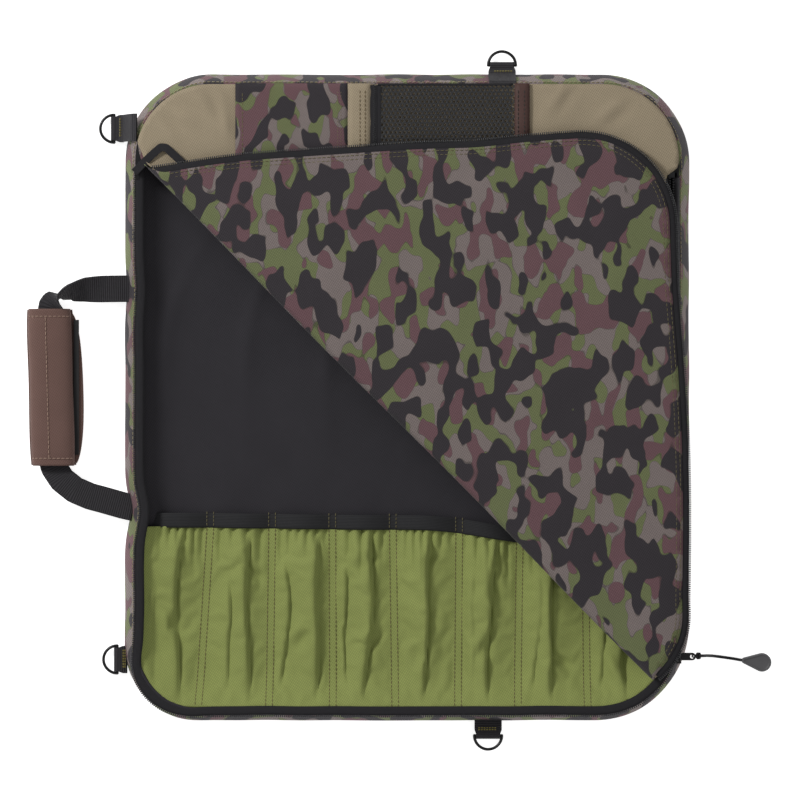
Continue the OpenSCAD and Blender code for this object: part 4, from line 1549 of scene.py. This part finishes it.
def build_ring_tab(name, joint_name, node, over_wall, inner_reach):
    """Webbing looped round a ring's bar, its two layers sewn to the bag."""
    centre, outward, bar = ring_frame(joint_name)
    shape = Shape()
    if over_wall:
        path = [centre - outward * inner_reach + up(wall_top + 1.2 - centre[2])]
        path += [centre - outward * (inner_reach - 4) + up(wall_top - 1.2 - centre[2])]
        path += [centre - outward * 7 + up(5.0)]
    else:
        path = [centre - outward * inner_reach + up(1.6)]
    path += [centre - outward * 3 + up(2.1)]
    for angle in range(90, -91, -30):
        c, s = unit(angle)
        path.append(centre + outward * TAB_LOOP_R * c + up(TAB_LOOP_R * s))
    path += [centre - outward * 3 + up(-1.3)]
    path += [centre - outward * (7 if over_wall else inner_reach) + up(-1.0)]
    pts = resample(path, 0.9)
    near = np.linalg.norm((pts - centre) * (np.abs(outward) > 0.5), axis=1)
    width = 10.1 - 1.4 * smooth((5 - near) / 5)
    ribbon(shape, pts, [bar] * len(pts), width, 1.1, rows=6)
    settle(shape.make(name, M["webbing"]), "bag", "webbing", node)
    sew = Shape()
    for reach in (4.6, 6.0):
        middle = centre - outward * reach + up(4.4 if over_wall else 2.95)
        stitches(sew, [middle + bar * BARTACK_HALF, middle - bar * BARTACK_HALF], 1.5, 0.5, 0.32)
    settle(sew.make(name + "_bartack", M["thread_yellow"]), "bag", "webbing")


build_ring_tab("top_tab", "ring_top_swing", "ring_tab_top", True, 17.0)
build_ring_tab("bottom_tab", "ring_bottom_swing", "ring_tab_bottom", False, 12.6)
build_ring_tab("upper_tab", "ring_upper_swing", "ring_tab_upper", True, 18.0)
build_ring_tab("lower_tab", "ring_lower_swing", "ring_tab_lower", False, 7.4)


# ---- Handle ----

handle_pivot = np.array(joints["handle_swing"]["pos_m"]) / MM
grip_low, grip_high = node_mm("grip_back")
GRIP_X = node_mm("grip_flap")[0][0] + 16.5
GRIP_Y0, GRIP_Y1 = grip_low[1], grip_high[1]
GRIP_Z = 9.4
GRIP_HALF_W, GRIP_DEPTH, GRIP_REAR_DEPTH = 16.2, 8.7, 7.9


def build_strap():
    """The webbing handle: flat at its upper root, twisted into the grip, and curving back below."""
    z = handle_pivot[2]
    upper = [(-202.5, 80.6, z + 0.4), (-210, 80.6, z), (-224, 80.4, z + 0.8), (-238, 79.8, z + 3.0)]
    upper += [(-250, 77.6, z + 5.0), (-259, 73.4, z + 4.6), (-263.4, 67.5, z + 2.2)]
    upper += [(-264, 60, z + 1), (-264, 40, z + 1)]
    sides = [(0, 1, 0), (0, 1, 0), (0, 1, 0.1), (0.1, 0.9, 0.45), (0.35, 0.6, 0.75)]
    sides += [(0.75, 0.35, 0.6), (1, 0.05, 0.2), (1, 0, 0), (1, 0, 0)]
    lower = [(-264, -25, z + 1), (-264, -42, z + 1), (-261.5, -52, z + 1.4), (-255.5, -61, z + 1.8)]
    lower += [(-246, -68.5, z + 1.6), (-235, -73.2, z + 1.0), (-224, -76.2, z + 0.4)]
    lower += [(-210, -80.2, z), (-202.5, -81.8, z + 0.4)]
    shape = Shape()
    pts = resample(upper, 2.0)
    along, at = lengths_along(np.array(upper)), lengths_along(pts)
    twist = np.stack([np.interp(at, along, np.array(sides)[:, k]) for k in range(3)], axis=1)
    ribbon(shape, pts, twist, 9.9, 1.9, rows=6)
    pts = resample(lower, 2.0)
    ribbon(shape, pts, np.cross(tangents(pts), [0, 0, 1]), 9.9, 1.9, rows=6)
    obj = shape.make("handle_webbing", M["webbing"])
    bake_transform(obj)
    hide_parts("handle_strap", "handle_anchors")


def half_oval(angles, width, height, power=0.72):
    """Points of a flattened oval's section at the given angles."""
    c, s = np.cos(np.radians(angles)), np.sin(np.radians(angles))
    return np.sign(c) * np.abs(c) ** power * width, np.sign(s) * np.abs(s) ** power * height


def grip_line(share):
    """The grip leans a little, and is pinched at its ends."""
    return GRIP_X - 3.0 * (share - 0.5), 1 - 0.045 * (2 * share - 1) ** 6 + 0.012 * math.sin(9 * share)


def grip_shell(name, angles, body, node, tongue, sag):
    """One half of the wrapped grip, from its section swept along the handle with soft dents."""
    ys = np.linspace(GRIP_Y0 - sag, GRIP_Y1 + sag, 70)
    shape = Shape()
    rows, uvs = [], []
    for y in ys:
        share = (y - ys[0]) / (ys[-1] - ys[0])
        middle, pinch = grip_line(share)
        hem = 0.35 * (abs(y - ys[0] - 5) < 2.2 or abs(ys[-1] - 5 - y) < 2.2)
        depth = GRIP_REAR_DEPTH if tongue else GRIP_DEPTH
        x, z = half_oval(angles, GRIP_HALF_W * pinch, depth * pinch - hem)
        around = np.linspace(0, 1, len(angles))
        dents = 0.35 * wobble(around * 40, np.full(len(angles), y), 26, 51)
        z = z + dents * np.abs(np.sin(np.radians(angles)))
        if tongue:
            reach = 7.4 * max(math.sin(math.pi * min(max(share * 1.02, 0), 1)), 0) ** 0.45
            x = np.r_[x, x[-1] + reach * np.array([0.35, 0.7, 1.0])]
            z = np.r_[z, [z[-1] - 0.4] * 3]
        rows.append(np.column_stack([middle + x, np.full(len(x), y), GRIP_Z + z]))
        uvs.append([(i * 2.0, y) for i in range(len(x))])
    shape.grid(rows, uvs=uvs)
    obj = shape.make(name, M["grip"])
    thicken(obj, 1.3)
    return settle(obj, body, "grip_fabric", node)


def grip_stitching():
    """A seam down the grip's front, and a hem across each of its ends."""
    sew = Shape()
    seam = []
    for y in np.linspace(GRIP_Y0 + 5, GRIP_Y1 - 5, 40):
        share = (y - GRIP_Y0) / (GRIP_Y1 - GRIP_Y0)
        middle, pinch = grip_line(share)
        seam.append((middle - 2.6, y, GRIP_Z + GRIP_DEPTH * pinch + 0.55))
    stitches(sew, seam, 2.6, 0.9, 0.26)
    for y in (GRIP_Y0 + 5, GRIP_Y1 - 5):
        middle, pinch = grip_line((y - GRIP_Y0) / (GRIP_Y1 - GRIP_Y0))
        x, z = half_oval(np.linspace(160, 20, 30), GRIP_HALF_W * pinch, GRIP_DEPTH * pinch)
        hem = np.column_stack([middle + x, np.full(30, y), GRIP_Z + z + 0.2])
        stitches(sew, hem, 2.4, 0.9, 0.26)
    settle(sew.make("grip_stitching", M["thread_cream"]), "grip_cover", "grip_fabric")


def build_grip():
    top_angles = np.linspace(171, 4, 40)
    back_angles = np.linspace(188, 357, 40)
    upper = grip_shell("grip_front", top_angles, "grip_cover", "grip_flap", False, 0.6)
    lower = grip_shell("grip_rear", back_angles, "handle", "grip_back", True, 0.0)
    grip_stitching()
    core = Shape()
    rows = []
    for y in np.linspace(GRIP_Y0 + 3, GRIP_Y1 - 3, 30):
        x, z = half_oval(np.linspace(0, 360, 48, endpoint=False), 13.4, 6.4)
        rows.append(np.column_stack([GRIP_X + x, np.full(len(x), y), GRIP_Z + z]))
    core.grid(rows, closed_u=True)
    core.cap(rows)
    settle(core.make("grip_padding", M["foam"]), "handle", "foam", "grip_core")
    hook = Shape()
    low, high = node_mm("grip_hook_strip")
    x, z = (low[0] + high[0]) / 2, (low[2] + high[2]) / 2
    pts = [(x, y, z) for y in np.arange(low[1], high[1], 4)]
    ribbon(hook, pts, [(1, 0, 0)] * len(pts), 2.0, 0.9)
    settle(hook.make("grip_hook", M["hook"]), "handle", "hook_loop", "grip_hook_strip")
    return upper, lower


build_strap()
front, rear = build_grip()


# ---- Carried-over CAD parts ----

def paint(node, material):
    obj = frame["nodes"][node]
    obj.data.materials.clear()
    obj.data.materials.append(material)


for ring in ("ring_top", "ring_bottom", "ring_upper", "ring_lower"):
    paint(ring, M["wire"])
for part in ("main_slider", "pull_tab", "mesh_slider", "mesh_pull_tab", "zip_stops"):
    paint(part, M["slider"])
paint("cover_seam_tape", M["tape"])


# ---- Floor and light ----

FLOOR_Z = -0.0004


def add_floor():
    mesh = bpy.data.meshes.new("floor")
    corners = [(-6, -6), (6, -6), (6, 6), (-6, 6)]
    mesh.from_pydata([(x, y, FLOOR_Z) for x, y in corners], [], [(0, 1, 2, 3)])
    mesh.materials.append(floor_material())
    obj = bpy.data.objects.new("floor", mesh)
    bpy.context.scene.collection.objects.link(obj)


def add_light(name, place, size, energy):
    data = bpy.data.lights.new(name, "AREA")
    data.shape = "DISK"
    data.size = size
    data.energy = energy
    obj = bpy.data.objects.new(name, data)
    obj.location = place
    obj.rotation_euler = (Vector((0, 0, 0)) - Vector(place)).to_track_quat("-Z", "Y").to_euler()
    bpy.context.scene.collection.objects.link(obj)


def add_world():
    world = bpy.data.worlds.new("studio")
    world.use_nodes = True
    world.node_tree.nodes["Background"].inputs["Color"].default_value = (1, 1, 1, 1)
    world.node_tree.nodes["Background"].inputs["Strength"].default_value = 0.36
    bpy.context.scene.world = world


add_floor()
add_world()
add_light("key", (-1.5, 1.1, 1.4), 0.5, 30)
add_light("fill", (1.2, -0.6, 1.8), 1.2, 4)
bpy.context.scene.view_settings.view_transform = "Standard"
